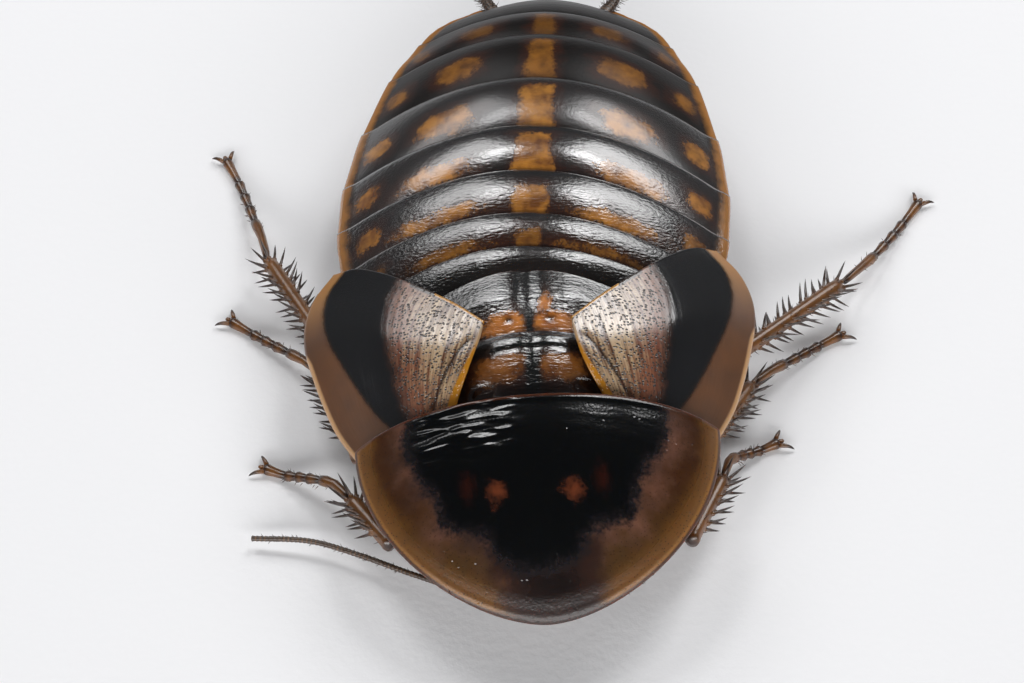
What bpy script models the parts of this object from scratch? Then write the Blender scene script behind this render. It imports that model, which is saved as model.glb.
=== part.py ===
"""An adult female dubia roach, modelled whole and life-size in its resting pose.

The lengths below are in millimetres. A place on the body is (across, back, up): across is positive
on the animal's left, back is measured from the middle of the rear edge of the shield, and up from the
floor. The head points to -Y.
"""
import math
import random

import bmesh
import bpy
import numpy as np
from mathutils import Vector

MM = 0.001
GAP = 0.3

# Where the middle of the whole animal's outline lies in these body measures
MIDDLE_ACROSS = 2.05
MIDDLE_BACK = 11.85

# How the body bends and leans in the pose
MIDLINE_START = 0.0
YAW_FRONT = -2.8
YAW_REAR = 3.2
BEND_FROM = 6.0
BEND_TO = 11.0
LEAN = 2.2
LEAN_HEIGHT = 4.5

# The shield over the head and the front of the thorax
SHIELD_HALF_WIDTH = 8.85
SHIELD_LENGTH = 9.8
SHIELD_TOP = 8.6
SHIELD_EDGE = 0.5
SHIELD_THICK = 0.85
SHIELD_WIDEST = 0.5
SHIELD_CORNER = 8.75
SHIELD_NOSE = 5.0
SHIELD_SWEEP = 0.45
SHIELD_FLAT = 1.9
SHIELD_ROUND = 0.56

# The short wing covers, and the lines of their grid that stand up as veins
TEGMEN_THICK = 0.5
TEGMEN_CROWN = 0.45
TEGMEN_COLUMNS = 18
TEGMEN_ROWS = 12
VEIN_COLUMNS = (3, 6, 9, 12, 15)
VEIN_RISE = 0.14
VEIN_START = 0.05
VEIN_END = 0.98

# The abdomen: the rear edge of each back plate, and the height of the side margins
PLATE_EDGES = (9.35, 11.45, 14.35, 17.6, 21.6, 25.7, 28.6)
ABDOMEN_START = 7.9
ABDOMEN_HALF_WIDTH = 10.3
PLATE_STEP = 0.32
PLATE_LAP = 0.12
PLATE_BOW = 1.5
BELLY_STEP = 0.14

# The eyes, proud of the head
EYE_GAP = 0.38
EYE_THICK = 0.35
EYE_BULGE = 0.3

# The thorns and claws of the legs: thorns for each row of a shin, and spurs at its end
SPINES = {"fore": (3, 2), "mid": (5, 2), "hind": (7, 3)}
THORN_ROWS = ((-15, 0.55), (35, 0.6), (145, 0.6), (195, 0.55))
THORN_SCATTER = 14
THORN_FROM = 0.26
THORN_TO = 0.93
THORN_LENGTHS = (1.2, 1.6)
THORN_RADIUS = 0.25
ROOT_DEPTH = 0.1
CLAW_LENGTH = 0.95
CLAW_RADIUS = 0.2

SEED = 11


def ease(value, low, high):
    """A smooth rise from 0 at low to 1 at high."""
    t = min(max((value - low) / (high - low), 0.0), 1.0)
    return t * t * (3.0 - 2.0 * t)


def eased_length(value, low, high):
    """The area under ease() up to value."""
    t = min(max((value - low) / (high - low), 0.0), 1.0)
    return (high - low) * (t ** 3 - 0.5 * t ** 4) + max(value - high, 0.0)


def curve(points, t):
    """The point at t, from 0 to 1, on the smooth curve through a few points."""
    points = np.asarray(points, float)
    steps = np.linalg.norm(np.diff(points, axis=0), axis=1)
    at = np.concatenate([[0.0], np.cumsum(steps)]) / steps.sum()
    k = int(min(max(np.searchsorted(at, t, side="right") - 1, 0), len(points) - 2))
    slopes = np.diff(points, axis=0) / np.diff(at)[:, None]
    tangent_a = slopes[k] if k == 0 else 0.5 * (slopes[k - 1] + slopes[k])
    tangent_b = slopes[k] if k == len(slopes) - 1 else 0.5 * (slopes[k] + slopes[k + 1])
    span = at[k + 1] - at[k]
    f = (t - at[k]) / span
    a = points[k] * (2 * f ** 3 - 3 * f ** 2 + 1) + tangent_a * span * (f ** 3 - 2 * f ** 2 + f)
    b = points[k + 1] * (3 * f ** 2 - 2 * f ** 3) + tangent_b * span * (f ** 3 - f ** 2)
    return a + b


def profile(table, position):
    """The values at one position of a table of rows (position, value, value...)."""
    columns = np.asarray(table, float).T
    return [float(np.interp(position, columns[0], column)) for column in columns[1:]]


def turned(across, back, up, bend=True):
    """A place on the straight, level body, moved to where the bent and leaning body has it."""
    slope_front = math.tan(math.radians(YAW_FRONT))
    slope_rear = math.tan(math.radians(YAW_REAR))
    middle = MIDLINE_START + slope_front * back
    slope = slope_front
    if bend:
        middle += (slope_rear - slope_front) * eased_length(back, BEND_FROM, BEND_TO)
        slope += (slope_rear - slope_front) * ease(back, BEND_FROM, BEND_TO)
    length = math.hypot(1.0, slope)
    lean = math.sin(math.radians(LEAN))
    level = across - (up - LEAN_HEIGHT) * lean
    return Vector((middle + level / length, back - level * slope / length, up + across * lean))


def placed(spot):
    """A place in millimetres, in the model's own metres with the origin under its middle."""
    return Vector((spot[0] - MIDDLE_ACROSS, spot[1] - MIDDLE_BACK, spot[2])) * MM


def material(name, colour, roughness):
    """A plain finish in a linear colour."""
    finish = bpy.data.materials.get(name) or bpy.data.materials.new(name)
    finish.use_nodes = True
    shader = finish.node_tree.nodes["Principled BSDF"]
    shader.inputs["Base Color"].default_value = (*colour, 1.0)
    shader.inputs["Roughness"].default_value = roughness
    shader.inputs["Metallic"].default_value = 0.0
    return finish


def face_outwards(bm):
    """Turns the faces of a closed body so that they point out."""
    bmesh.ops.recalc_face_normals(bm, faces=bm.faces[:])
    if bm.calc_volume(signed=True) < 0.0:
        bmesh.ops.reverse_faces(bm, faces=bm.faces[:])


def finished(name, bm, finish):
    """An object from a closed body, its faces pointing out and its soft edges shaded smooth."""
    face_outwards(bm)
    mesh = bpy.data.meshes.new(name)
    bm.to_mesh(mesh)
    bm.free()
    mesh.shade_smooth()
    mesh.set_sharp_from_angle(angle=math.radians(40))
    mesh.materials.append(material(f"{name}_finish", *finish))
    made = bpy.data.objects.new(name, mesh)
    bpy.context.scene.collection.objects.link(made)
    return made


def loft(rings):
    """A closed body drawn out from its first ring through the others."""
    bm = bmesh.new()
    face = bm.faces.new([bm.verts.new(placed(spot)) for spot in rings[0]])
    count = len(rings[0])
    edges = list(face.edges)
    for ring in rings[1:]:
        grown = bmesh.ops.extrude_edge_only(bm, edges=edges)["geom"]
        new_verts = [item for item in grown if isinstance(item, bmesh.types.BMVert)]
        edges = [item for item in grown if isinstance(item, bmesh.types.BMEdge)]
        edges = [edge for edge in edges if all(vert in new_verts for vert in edge.verts)]
        bm.verts.index_update()
        start = min(vert.index for vert in new_verts)
        for vert in new_verts:
            vert.co = placed(ring[(vert.index - start) % count])
    bmesh.ops.contextual_create(bm, geom=edges)
    bmesh.ops.triangulate(bm, faces=bm.faces[:])
    return bm


def slab(columns, rows, surface):
    """A plate bent from a flat grid: surface(u, v, side) gives its top at side 0, underside at 1."""
    bm = bmesh.new()
    bmesh.ops.create_grid(bm, x_segments=columns, y_segments=rows, size=0.5)
    bmesh.ops.triangulate(bm, faces=bm.faces[:])
    under = bmesh.ops.extrude_face_region(bm, geom=bm.faces[:])["geom"]
    bmesh.ops.translate(bm, vec=(0.0, 0.0, -1.0),
                        verts=[item for item in under if isinstance(item, bmesh.types.BMVert)])
    bmesh.ops.triangulate(bm, faces=bm.faces[:])
    for vert in bm.verts:
        u, v, side = vert.co.x + 0.5, vert.co.y + 0.5, -vert.co.z
        vert.co = placed(surface(u, v, side))
    return bm


def patch(near, far, first, last, u, v):
    """A point of the smooth patch between four border curves: near and far in u, first and last in v."""
    corner = ((1 - u) * (1 - v) * near(0.0) + u * (1 - v) * near(1.0)
              + (1 - u) * v * far(0.0) + u * v * far(1.0))
    return (1 - v) * near(u) + v * far(u) + (1 - u) * first(v) + u * last(v) - corner


def joined(base, pieces):
    """One closed body from a base object and the closed pieces sunk into it."""
    group = bpy.data.collections.new(f"{base.name}_pieces")
    for piece in pieces:
        group.objects.link(piece)
    union = base.modifiers.new("pieces", "BOOLEAN")
    union.operation = "UNION"
    union.operand_type = "COLLECTION"
    union.collection = group
    union.solver = "EXACT"
    graph = bpy.context.evaluated_depsgraph_get()
    fused = bpy.data.meshes.new_from_object(base.evaluated_get(graph))
    base.modifiers.remove(union)
    base.data = fused
    for piece in pieces:
        bpy.data.objects.remove(piece)
    bpy.data.collections.remove(group)
    keep_largest(base)


def keep_largest(made):
    """Keeps only the largest closed surface of an object."""
    bm = bmesh.new()
    bm.from_mesh(made.data)
    bmesh.ops.remove_doubles(bm, verts=bm.verts[:], dist=1e-7)
    left = set(bm.verts)
    shells = []
    while left:
        shell = {left.pop()}
        front = list(shell)
        while front:
            for edge in front.pop().link_edges:
                for vert in edge.verts:
                    if vert in left:
                        left.discard(vert)
                        shell.add(vert)
                        front.append(vert)
        shells.append(shell)
    shells.sort(key=len)
    for shell in shells[:-1]:
        bmesh.ops.delete(bm, geom=list(shell), context="VERTS")
    bm.to_mesh(made.data)
    bm.free()


SHELL_BLACK = (0.012, 0.009, 0.008)
SHELL_BROWN = (0.05, 0.02, 0.008)
AMBER = (0.2, 0.08, 0.02)
LEG_BROWN = (0.13, 0.05, 0.015)
EYE_BLACK = (0.006, 0.005, 0.005)


def shield_height(across, back):
    """The top of the shield over a place in its outline."""
    forward = abs(back)
    sag = 0.1 * forward + 0.038 * forward ** 2
    return SHIELD_TOP - sag - 0.0345 * across ** 2 - 0.00007 * across ** 4


def shield_half_width(back):
    """Half the shield's width at one distance along it."""
    t = max((-back - SHIELD_WIDEST) / (SHIELD_LENGTH - SHIELD_WIDEST), 0.0)
    return SHIELD_HALF_WIDTH * (1.0 - min(t, 1.0) ** SHIELD_FLAT) ** SHIELD_ROUND


def shield_front(across):
    """Where the front rim lies at one distance from the midline."""
    t = (1.0 - (abs(across) / SHIELD_HALF_WIDTH) ** (1 / SHIELD_ROUND)) ** (1 / SHIELD_FLAT)
    return -SHIELD_WIDEST - (SHIELD_LENGTH - SHIELD_WIDEST) * t


def shield_plan(u, v):
    """A place in the shield's outline: u from the right side to the left, v from its rear to its front."""
    nose_back = shield_front(SHIELD_NOSE)

    def rear(t):
        across = (2 * t - 1) * SHIELD_CORNER
        return np.array([across, -SHIELD_SWEEP * abs(across / SHIELD_CORNER) ** 6])

    def front(t):
        across = (2 * t - 1) * SHIELD_NOSE
        return np.array([across, shield_front(across)])

    def side(t, sign):
        if t == 0.0:
            return rear(0.5 + 0.5 * sign)
        if t == 1.0:
            return front(0.5 + 0.5 * sign)
        back = -SHIELD_SWEEP + (nose_back + SHIELD_SWEEP) * t
        return np.array([sign * shield_half_width(back), back])

    return patch(rear, front, lambda t: side(t, -1), lambda t: side(t, 1), u, v)


def shield_surface(u, v, side):
    across, back = shield_plan(u, v)
    inner = min(4.0 * u * (1 - u), 1.0) * min(3.0 * v, 3.0 * (1 - v), 1.0)
    thick = SHIELD_EDGE + (SHIELD_THICK - SHIELD_EDGE) * inner
    up = shield_height(across, back) - thick * side
    return turned(across, back, up)


def make_shield():
    finished("pronotum", slab(22, 14, shield_surface), (SHELL_BROWN, 0.2))


# Borders of a wing cover: (out from the midline, back, up). The left one reaches further in
TEGMEN_BASE = ((4.1, -0.8, 6.62), (6.2, -1.0, 5.85), (8.2, -1.2, 4.35))
TEGMEN_INNER = {
    "right": ((4.1, -0.8, 6.62), (3.9, 0.4, 7.34), (3.1, 2.2, 8.45), (2.5, 3.6, 8.85), (2.3, 4.35, 8.95)),
    "left": ((4.1, -0.8, 6.62), (3.45, 0.4, 7.42), (2.5, 2.2, 8.55), (2.15, 3.6, 8.9), (2.1, 4.3, 8.95)),
}
TEGMEN_REAR = ((3.8, 5.8, 8.75), (5.9, 7.6, 8.2), (7.5, 9.15, 7.45), (8.8, 10.1, 6.8), (9.9, 10.3, 6.2))
TEGMEN_OUTER = ((8.2, -1.2, 4.35), (8.8, -0.3, 4.3), (9.85, 1.5, 4.4), (10.5, 3.1, 4.75), (11.0, 4.65, 5.1),
                (11.4, 6.3, 5.25), (11.4, 7.9, 5.3), (10.95, 9.3, 5.5), (9.9, 10.3, 6.2))


def tegmen_surface(u, v, side, name):
    """A point of a wing cover: u from its inner edge out to its costal edge, v from its base back."""
    inner = TEGMEN_INNER[name]
    rear = (inner[-1], *TEGMEN_REAR)
    spot = patch(lambda t: curve(TEGMEN_BASE, t), lambda t: curve(rear, t),
                 lambda t: curve(inner, t), lambda t: curve(TEGMEN_OUTER, t), u, v)
    crown = TEGMEN_CROWN * math.sin(math.pi * u) * math.sin(math.pi * v)
    up = spot[2] + crown - TEGMEN_THICK * side
    if side == 0 and VEIN_START < v < VEIN_END and round(u * TEGMEN_COLUMNS) in VEIN_COLUMNS:
        up += VEIN_RISE
    sign = -1 if name == "right" else 1
    return turned(sign * spot[0], spot[1], up, bend=False)


def make_tegmina():
    for name in TEGMEN_INNER:
        bm = slab(TEGMEN_COLUMNS, TEGMEN_ROWS,
                  lambda u, v, side, name=name: tegmen_surface(u, v, side, name))
        finished(f"tegmen_{name}", bm, (SHELL_BROWN, 0.25))


def body_ring(back, half, top, margin, bottom, curl=2.1, belly=3.0, bow=0.0, count=28):
    """One outline of the trunk: its back arched down to the margins, its belly flatter."""
    ring = []
    for k in range(count):
        angle = 2.0 * math.pi * k / count
        across = half * math.sin(angle)
        share = abs(math.sin(angle))
        if math.cos(angle) >= -1e-9:
            up = top - (top - margin) * share ** curl
        else:
            up = bottom + (margin - bottom) * share ** belly
        ring.append(turned(across, back - bow * share ** 1.6, up))
    return ring


# The thorax under the shield and wings: back, half width, top, margin, bottom
THORAX = (
    (-5.15, 1.2, 5.2, 4.4, 3.7),
    (-4.6, 3.0, 6.1, 4.8, 3.9),
    (-3.6, 4.6, 6.55, 4.9, 4.1),
    (-1.6, 5.7, 6.9, 4.9, 4.2),
    (0.2, 5.7, 7.1, 4.8, 4.2),
    (2.2, 6.4, 8.1, 5.1, 4.2),
    (4.0, 6.6, 8.35, 5.2, 4.2),
    (4.15, 6.5, 8.05, 5.15, 4.2),
    (5.6, 7.0, 8.25, 5.3, 4.2),
    (7.5, 7.4, 8.4, 5.4, 4.3),
)


def make_thorax():
    rings = []
    for back, half, top, margin, bottom in THORAX:
        rings.append(body_ring(back, half, top, margin, bottom, curl=1.9, bow=1.1 * ease(back, 0.0, 7.0)))
    finished("thorax", loft(rings), (SHELL_BROWN, 0.25))


# The abdomen's smooth form: back, half width, top, margin, bottom
ABDOMEN = (
    (7.9, 7.9, 8.2, 5.0, 4.4),
    (9.3, 8.9, 8.35, 4.7, 3.9),
    (10.6, 9.6, 8.45, 4.6, 2.6),
    (13.9, 10.3, 8.5, 4.5, 1.7),
    (17.4, 10.4, 8.4, 4.4, 1.5),
    (20.9, 9.95, 8.0, 4.3, 1.5),
    (24.5, 9.05, 7.3, 4.2, 1.7),
    (26.8, 8.3, 6.7, 4.1, 2.0),
    (28.2, 7.4, 6.2, 4.0, 2.2),
    (29.6, 6.8, 5.5, 3.9, 2.5),
    (30.6, 5.8, 4.9, 3.8, 2.8),
    (31.2, 4.6, 4.5, 3.7, 3.0),
    (31.6, 2.9, 4.1, 3.6, 3.2),
)


def abdomen_ring(back, rise):
    half, top, margin, bottom = profile(ABDOMEN, back)
    lift = PLATE_STEP * rise
    bow = PLATE_BOW * half / ABDOMEN_HALF_WIDTH
    return body_ring(back, half + 0.5 * lift, top + lift, margin, bottom - BELLY_STEP * rise, bow=bow,
                     count=32)


def make_abdomen():
    """The back plates overlap like tiles: each rises to its rear edge and drops onto the next."""
    rings = [abdomen_ring(ABDOMEN_START, 0.0)]
    front = ABDOMEN_START
    for edge in PLATE_EDGES:
        middle = 0.5 * (front + edge)
        rings.append(abdomen_ring(middle, 0.6))
        rings.append(abdomen_ring(edge, 1.0))
        rings.append(abdomen_ring(edge + PLATE_LAP, 0.1))
        front = edge
    for back in (29.6, 30.6, 31.2, 31.6):
        rings.append(abdomen_ring(back, 0.0))
    finished("abdomen", loft(rings), (SHELL_BLACK, 0.25))


def tube(stations, sides=8, up=(0.0, 0.0, 1.0)):
    """Rings of a limb, flat on the floor. A station is (across, back, up, half width, half height)."""
    places = [Vector(station[:3]) for station in stations]
    rings = []
    for k, station in enumerate(stations):
        ahead = places[min(k + 1, len(places) - 1)] - places[max(k - 1, 0)]
        side = ahead.cross(Vector(up)).normalized()
        rise = side.cross(ahead).normalized()
        ring = []
        for j in range(sides):
            angle = 2.0 * math.pi * (j + 0.5) / sides
            spot = places[k] + side * station[3] * math.cos(angle) + rise * station[4] * math.sin(angle)
            spot.z = max(spot.z, 0.0)
            ring.append(spot)
        rings.append(ring)
    return rings


def spaced(start, end, forms):
    """Stations of a straight limb: forms are (share of its length, half width, half height)."""
    start, end = Vector(start), Vector(end)
    return [(*start.lerp(end, share), width, height) for share, width, height in forms]


def spine(name, root, direction, length, radius):
    """One tapered thorn, a slim cone of five sides, sunk into what it grows from."""
    bm = bmesh.new()
    bmesh.ops.create_cone(bm, cap_ends=True, segments=5, radius1=radius * MM, radius2=0.0,
                          depth=length * MM)
    bmesh.ops.translate(bm, vec=(0.0, 0.0, 0.5 * length * MM), verts=bm.verts[:])
    turn = Vector(direction).to_track_quat("Z", "Y").to_matrix()
    bmesh.ops.rotate(bm, verts=bm.verts[:], cent=(0, 0, 0), matrix=turn)
    bmesh.ops.translate(bm, vec=placed(root), verts=bm.verts[:])
    face_outwards(bm)
    mesh = bpy.data.meshes.new(name)
    bm.to_mesh(mesh)
    bm.free()
    return bpy.data.objects.new(name, mesh)


# Each leg: knee and ankle, then the foot's way to the floor, in the pose (across, back, up)
LEGS = {
    "right_fore": {
        "knee": (-7.2, -4.8, 2.9), "ankle": (-9.25, -1.75, 2.1),
        "foot": ((-10.0, -0.7, 1.8), (-11.7, 0.3, 0.95), (-12.9, 0.9, 0.32), (-13.9, 1.35, 0.24)),
    },
    "right_mid": {
        "knee": (-8.9, 0.2, 2.9), "ankle": (-11.1, 6.2, 1.6),
        "foot": ((-11.9, 7.2, 1.4), (-13.5, 8.6, 0.8), (-15.2, 10.0, 0.32), (-16.4, 10.9, 0.24)),
    },
    "right_hind": {
        "knee": (-9.9, 5.2, 3.7), "ankle": (-14.5, 14.0, 1.7),
        "foot": ((-14.8, 15.3, 1.4), (-15.6, 17.7, 0.75), (-16.7, 20.7, 0.32), (-17.6, 22.6, 0.24)),
    },
    "left_fore": {
        "knee": (7.5, -4.5, 2.8), "ankle": (9.35, -0.3, 1.9),
        "foot": ((9.75, 0.9, 1.6), (10.6, 1.8, 0.8), (11.5, 2.4, 0.32), (12.5, 2.95, 0.24)),
    },
    "left_mid": {
        "knee": (8.6, 0.9, 3.2), "ankle": (11.2, 5.6, 1.7),
        "foot": ((12.1, 6.6, 1.4), (13.6, 7.9, 0.8), (15.2, 9.2, 0.32), (16.4, 10.0, 0.24)),
    },
    "left_hind": {
        "knee": (9.9, 5.7, 3.7), "ankle": (16.5, 12.3, 1.8),
        "foot": ((17.3, 13.3, 1.45), (18.7, 15.1, 0.8), (20.4, 17.5, 0.32), (21.7, 19.4, 0.24)),
    },
}

# Each pair's hip and trochanter on the straight body, for the animal's left side
HIPS = {"fore": (3.5, -4.6, 3.2), "mid": (4.1, -0.6, 3.25), "hind": (4.6, 4.3, 3.2)}
COXA_ENDS = {"fore": (1.6, -2.0, 2.7), "mid": (1.8, 2.5, 2.7), "hind": (2.0, 7.2, 2.7)}
TROCHANTERS = {"fore": (1.35, -0.3, 1.9), "mid": (1.5, 3.85, 1.95), "hind": (1.7, 8.5, 2.05)}
FEMUR_DEPTH = {"fore": 0.8, "mid": 0.9, "hind": 1.0}
KNEE_ROOM = 0.75
SHIN_START = 0.25
FOOT_GAP = GAP + 0.06
FOOT_SWELL = (0.3, 0.33, 0.29, 0.32, 0.27, 0.31, 0.27, 0.3, 0.26, 0.3, 0.2)


def make_leg(name, leg, rng):
    side, pair = name.split("_")
    sign = -1 if side == "right" else 1
    hip = turned(sign * HIPS[pair][0], *HIPS[pair][1:], bend=False)
    coxa_end = turned(sign * COXA_ENDS[pair][0], *COXA_ENDS[pair][1:], bend=False)
    trochanter = turned(sign * TROCHANTERS[pair][0], *TROCHANTERS[pair][1:], bend=False)
    knee, ankle = Vector(leg["knee"]), Vector(leg["ankle"])
    depth = FEMUR_DEPTH[pair]

    coxa = spaced(hip, coxa_end, (
        (0.0, 0.6, 0.4), (0.15, 1.0, 0.6), (0.5, 1.05, 0.68), (0.8, 0.75, 0.6), (1.0, 0.45, 0.42)))
    finished(f"leg_{name}_coxa", loft(tube(coxa)), (AMBER, 0.3))

    thigh_length = (knee - trochanter).length
    femur = spaced(trochanter, knee, (
        (0.0, 0.42, 0.45), (0.1, 0.55, 0.7), (0.3, 0.65, depth), (0.7, 0.6, 0.85 * depth),
        (0.85, 0.5, 0.62), (1.0 - KNEE_ROOM / thigh_length, 0.36, 0.45)))
    finished(f"leg_{name}_femur", loft(tube(femur)), (LEG_BROWN, 0.3))

    shin = (ankle - knee).normalized()
    tibia = spaced(knee - shin * SHIN_START, ankle, (
        (0.0, 0.34, 0.38), (0.12, 0.46, 0.52), (0.5, 0.42, 0.48), (0.93, 0.42, 0.46), (1.0, 0.34, 0.36)))
    shank = finished(f"leg_{name}_tibia", loft(tube(tibia)), (LEG_BROWN, 0.35))
    joined(shank, tibia_spines(name, pair, knee, ankle, rng))

    steps = [tuple(ankle + shin * FOOT_GAP), *leg["foot"]]
    last = len(FOOT_SWELL) - 1
    path = [curve(steps, k / last) for k in range(last + 1)]
    foot = [(*spot, width, width) for spot, width in zip(path, FOOT_SWELL)]
    sole = finished(f"leg_{name}_tarsus", loft(tube(foot)), (LEG_BROWN, 0.4))
    joined(sole, claws(name, path))


def tibia_spines(name, pair, knee, ankle, rng):
    """The rows of thorns down the shin, longer towards the foot, and the ring of spurs at its end."""
    along = (ankle - knee).normalized()
    side = along.cross(Vector((0, 0, 1))).normalized()
    rise = side.cross(along).normalized()
    per_row, spurs = SPINES[pair]
    thorns = []
    for row, (turn, lean) in enumerate(THORN_ROWS):
        for k in range(per_row):
            stagger = 0.25 * row + 0.3 * rng.random()
            share = THORN_FROM + (THORN_TO - THORN_FROM) * (k + stagger) / per_row
            angle = math.radians(turn + rng.uniform(-THORN_SCATTER, THORN_SCATTER))
            outward = side * math.cos(angle) + rise * math.sin(angle)
            root = knee.lerp(ankle, min(share, THORN_TO)) + outward * ROOT_DEPTH
            length = rng.uniform(*THORN_LENGTHS)
            thorns.append(spine(f"{name}_thorn", root, outward + along * lean, length, THORN_RADIUS))
    for k in range(spurs):
        angle = math.radians(30 + 120 * k)
        outward = side * math.cos(angle) + rise * math.sin(angle)
        root = knee.lerp(ankle, THORN_TO) + outward * ROOT_DEPTH
        direction = outward * 0.75 + along * 0.5
        thorns.append(spine(f"{name}_spur", root, direction, THORN_LENGTHS[0], THORN_RADIUS))
    return thorns


def claws(name, path):
    """The two hooked claws at the end of a foot, spread just above the floor."""
    tip, before = Vector(path[-1]), Vector(path[-3])
    ahead = tip - before
    ahead.z = 0.0
    ahead.normalize()
    side = Vector((-ahead.y, ahead.x, 0.0))
    hooks = []
    for sign in (-1, 1):
        direction = ahead * 0.8 + side * sign * 0.7
        root = tip - ahead * 0.35 + Vector((0.0, 0.0, 0.02))
        hooks.append(spine(f"{name}_claw", root, direction, CLAW_LENGTH, CLAW_RADIUS))
    return hooks


# The head hangs under the shield: share down the face, half width, half depth
HEAD_TOP = (0.0, -7.35, 4.55)
HEAD_MOUTH = (0.0, -5.75, 1.95)
HEAD_FORMS = ((0.0, 1.0, 0.5), (0.08, 1.9, 0.85), (0.25, 2.55, 1.1), (0.5, 2.6, 1.15), (0.75, 2.1, 1.0),
              (0.92, 1.6, 0.8), (1.0, 1.35, 0.65))


def face_axes():
    """The crown of the head, the way down its face to the mouth, and the way out of the face."""
    top, mouth = Vector(HEAD_TOP), Vector(HEAD_MOUTH)
    down = (mouth - top).normalized()
    return top, mouth, down, Vector((0.0, down.z, -down.y))


def head_spot(share, angle, width, depth):
    """A place round the head: angle 0 is the middle of the face's front, a right angle its left side."""
    top, mouth, down, face = face_axes()
    sideways = Vector((width * math.sin(angle), 0.0, 0.0))
    return turned(*(top.lerp(mouth, share) + sideways + face * depth * math.cos(angle)))


def head_ring(share, width, depth, sides=20):
    return [head_spot(share, 2.0 * math.pi * j / sides, width, depth) for j in range(sides)]


def make_head():
    finished("head", loft([head_ring(*form) for form in HEAD_FORMS]), (SHELL_BLACK, 0.25))
    make_eyes()
    make_mouthparts()


def eye_surface(u, v, side, sign):
    """A point of an eye: u round the side of the head, v from the crown down to the cheek."""
    share = 0.14 + 0.42 * v
    angle = math.radians(62 + 62 * u + 8 * math.sin(math.pi * v))
    width, depth = profile(HEAD_FORMS, share)
    bulge = EYE_BULGE * math.sin(math.pi * u) * math.sin(math.pi * v)
    off = EYE_GAP + (EYE_THICK + bulge) * (1 - side)
    return head_spot(share, sign * angle, width + off, depth + off)


def make_eyes():
    """Each kidney-shaped eye wraps the side of the head from the crown down to the cheek."""
    for name, sign in (("eye_right", -1), ("eye_left", 1)):
        bm = slab(6, 8, lambda u, v, side, sign=sign: eye_surface(u, v, side, sign))
        finished(name, bm, (EYE_BLACK, 0.1))


# The upper lip and jaws under the face: share of their length, half width, half depth
JAW_LENGTH = 1.15
JAW_FORMS = ((0.0, 1.25, 0.6), (0.35, 1.15, 0.62), (0.75, 0.85, 0.5), (1.0, 0.5, 0.32))

# A palp's way from the cheek down to the floor in front, and how thick it is along it
PALP_BENDS = ((1.75, -5.85, 1.75), (2.3, -6.05, 1.25), (2.45, -6.55, 0.78), (2.05, -6.95, 0.42))
PALP_SWELL = (0.24, 0.27, 0.25, 0.28, 0.25, 0.29, 0.16)


def make_mouthparts():
    """The lip and jaws are one wedge that narrows to the mouth, with a palp on each side."""
    top, mouth, down, face = face_axes()
    stations = []
    for share, width, depth in JAW_FORMS:
        spot = turned(*(mouth + down * (GAP + JAW_LENGTH * share)))
        stations.append((*spot, width, depth))
    finished("mouthparts", loft(tube(stations, sides=12, up=(0, 1, 0))), (LEG_BROWN, 0.3))
    last = len(PALP_SWELL) - 1
    for name, sign in (("palp_right", -1), ("palp_left", 1)):
        steps = [tuple(turned(sign * across, back, up)) for across, back, up in PALP_BENDS]
        path = [curve(steps, k / last) for k in range(last + 1)]
        stations = [(*spot, radius, radius) for spot, radius in zip(path, PALP_SWELL)]
        finished(name, loft(tube(stations)), (AMBER, 0.35))


# The feelers: the right one lies along the floor beside the shield, the left one under the body
ANTENNA_RIGHT = ((-1.25, -7.95, 2.6), (-2.6, -7.65, 2.1), (-4.4, -6.5, 1.75), (-6.5, -5.4, 1.3),
                 (-8.6, -4.38, 1.05), (-11.2, -3.4, 0.85), (-14.2, -3.07, 0.6))
ANTENNA_LEFT = ((1.6, -7.95, 2.6), (2.95, -7.6, 2.15), (4.7, -6.35, 1.65), (5.9, -4.6, 0.95), (6.3, -2.0, 0.6),
                (5.7, 0.6, 0.5), (4.4, 3.0, 0.45), (2.6, 5.6, 0.4))
ANTENNA_STEPS = 14
ANTENNA_THICK = 0.25
ANTENNA_ROOT_EXTRA = 0.07
ANTENNA_ROOT_STEPS = 4


def make_antennae():
    for name, steps in (("antenna_right", ANTENNA_RIGHT), ("antenna_left", ANTENNA_LEFT)):
        stations = []
        for k in range(ANTENNA_STEPS + 1):
            radius = ANTENNA_THICK + ANTENNA_ROOT_EXTRA * max(1.0 - k / ANTENNA_ROOT_STEPS, 0.0)
            stations.append((*curve(steps, k / ANTENNA_STEPS), radius, radius))
        finished(name, loft(tube(stations, sides=6)), (LEG_BROWN, 0.4))


# The short tail feelers either side of the tip of the abdomen, on the straight body
CERCUS_ROOT = (3.15, 31.45, 3.4)
CERCUS_TIP = (4.2, 33.2, 3.3)
CERCUS_FORMS = ((0.0, 0.42, 0.3), (0.3, 0.48, 0.32), (0.7, 0.38, 0.27), (1.0, 0.14, 0.12))


def make_cerci():
    for name, sign in (("cercus_right", -1), ("cercus_left", 1)):
        start = turned(sign * CERCUS_ROOT[0], *CERCUS_ROOT[1:])
        end = turned(sign * CERCUS_TIP[0], *CERCUS_TIP[1:])
        finished(name, loft(tube(spaced(start, end, CERCUS_FORMS))), (LEG_BROWN, 0.4))


def main():
    for old in list(bpy.data.objects):
        bpy.data.objects.remove(old)
    rng = random.Random(SEED)
    make_shield()
    make_tegmina()
    make_thorax()
    make_abdomen()
    make_head()
    make_antennae()
    make_cerci()
    for name, leg in LEGS.items():
        make_leg(name, leg, rng)


main()
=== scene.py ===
# %% [markdown]
# An adult female dubia roach, life-size, in the pose that it rests in. Under a hand lens the animal is
# a set of hard plates, hinged on soft skin: a shield over the head, two short stiff wing covers, the
# thorax between them, and an abdomen of tiles that slide over one another. This lesson builds each
# plate as a real piece with its own thickness and rounded rim, around solids that already have the
# right places and sizes, and then paints the tanned shell, amber rims and orange marks.

# %% Load the frame and keep its box
import math
import random

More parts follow.
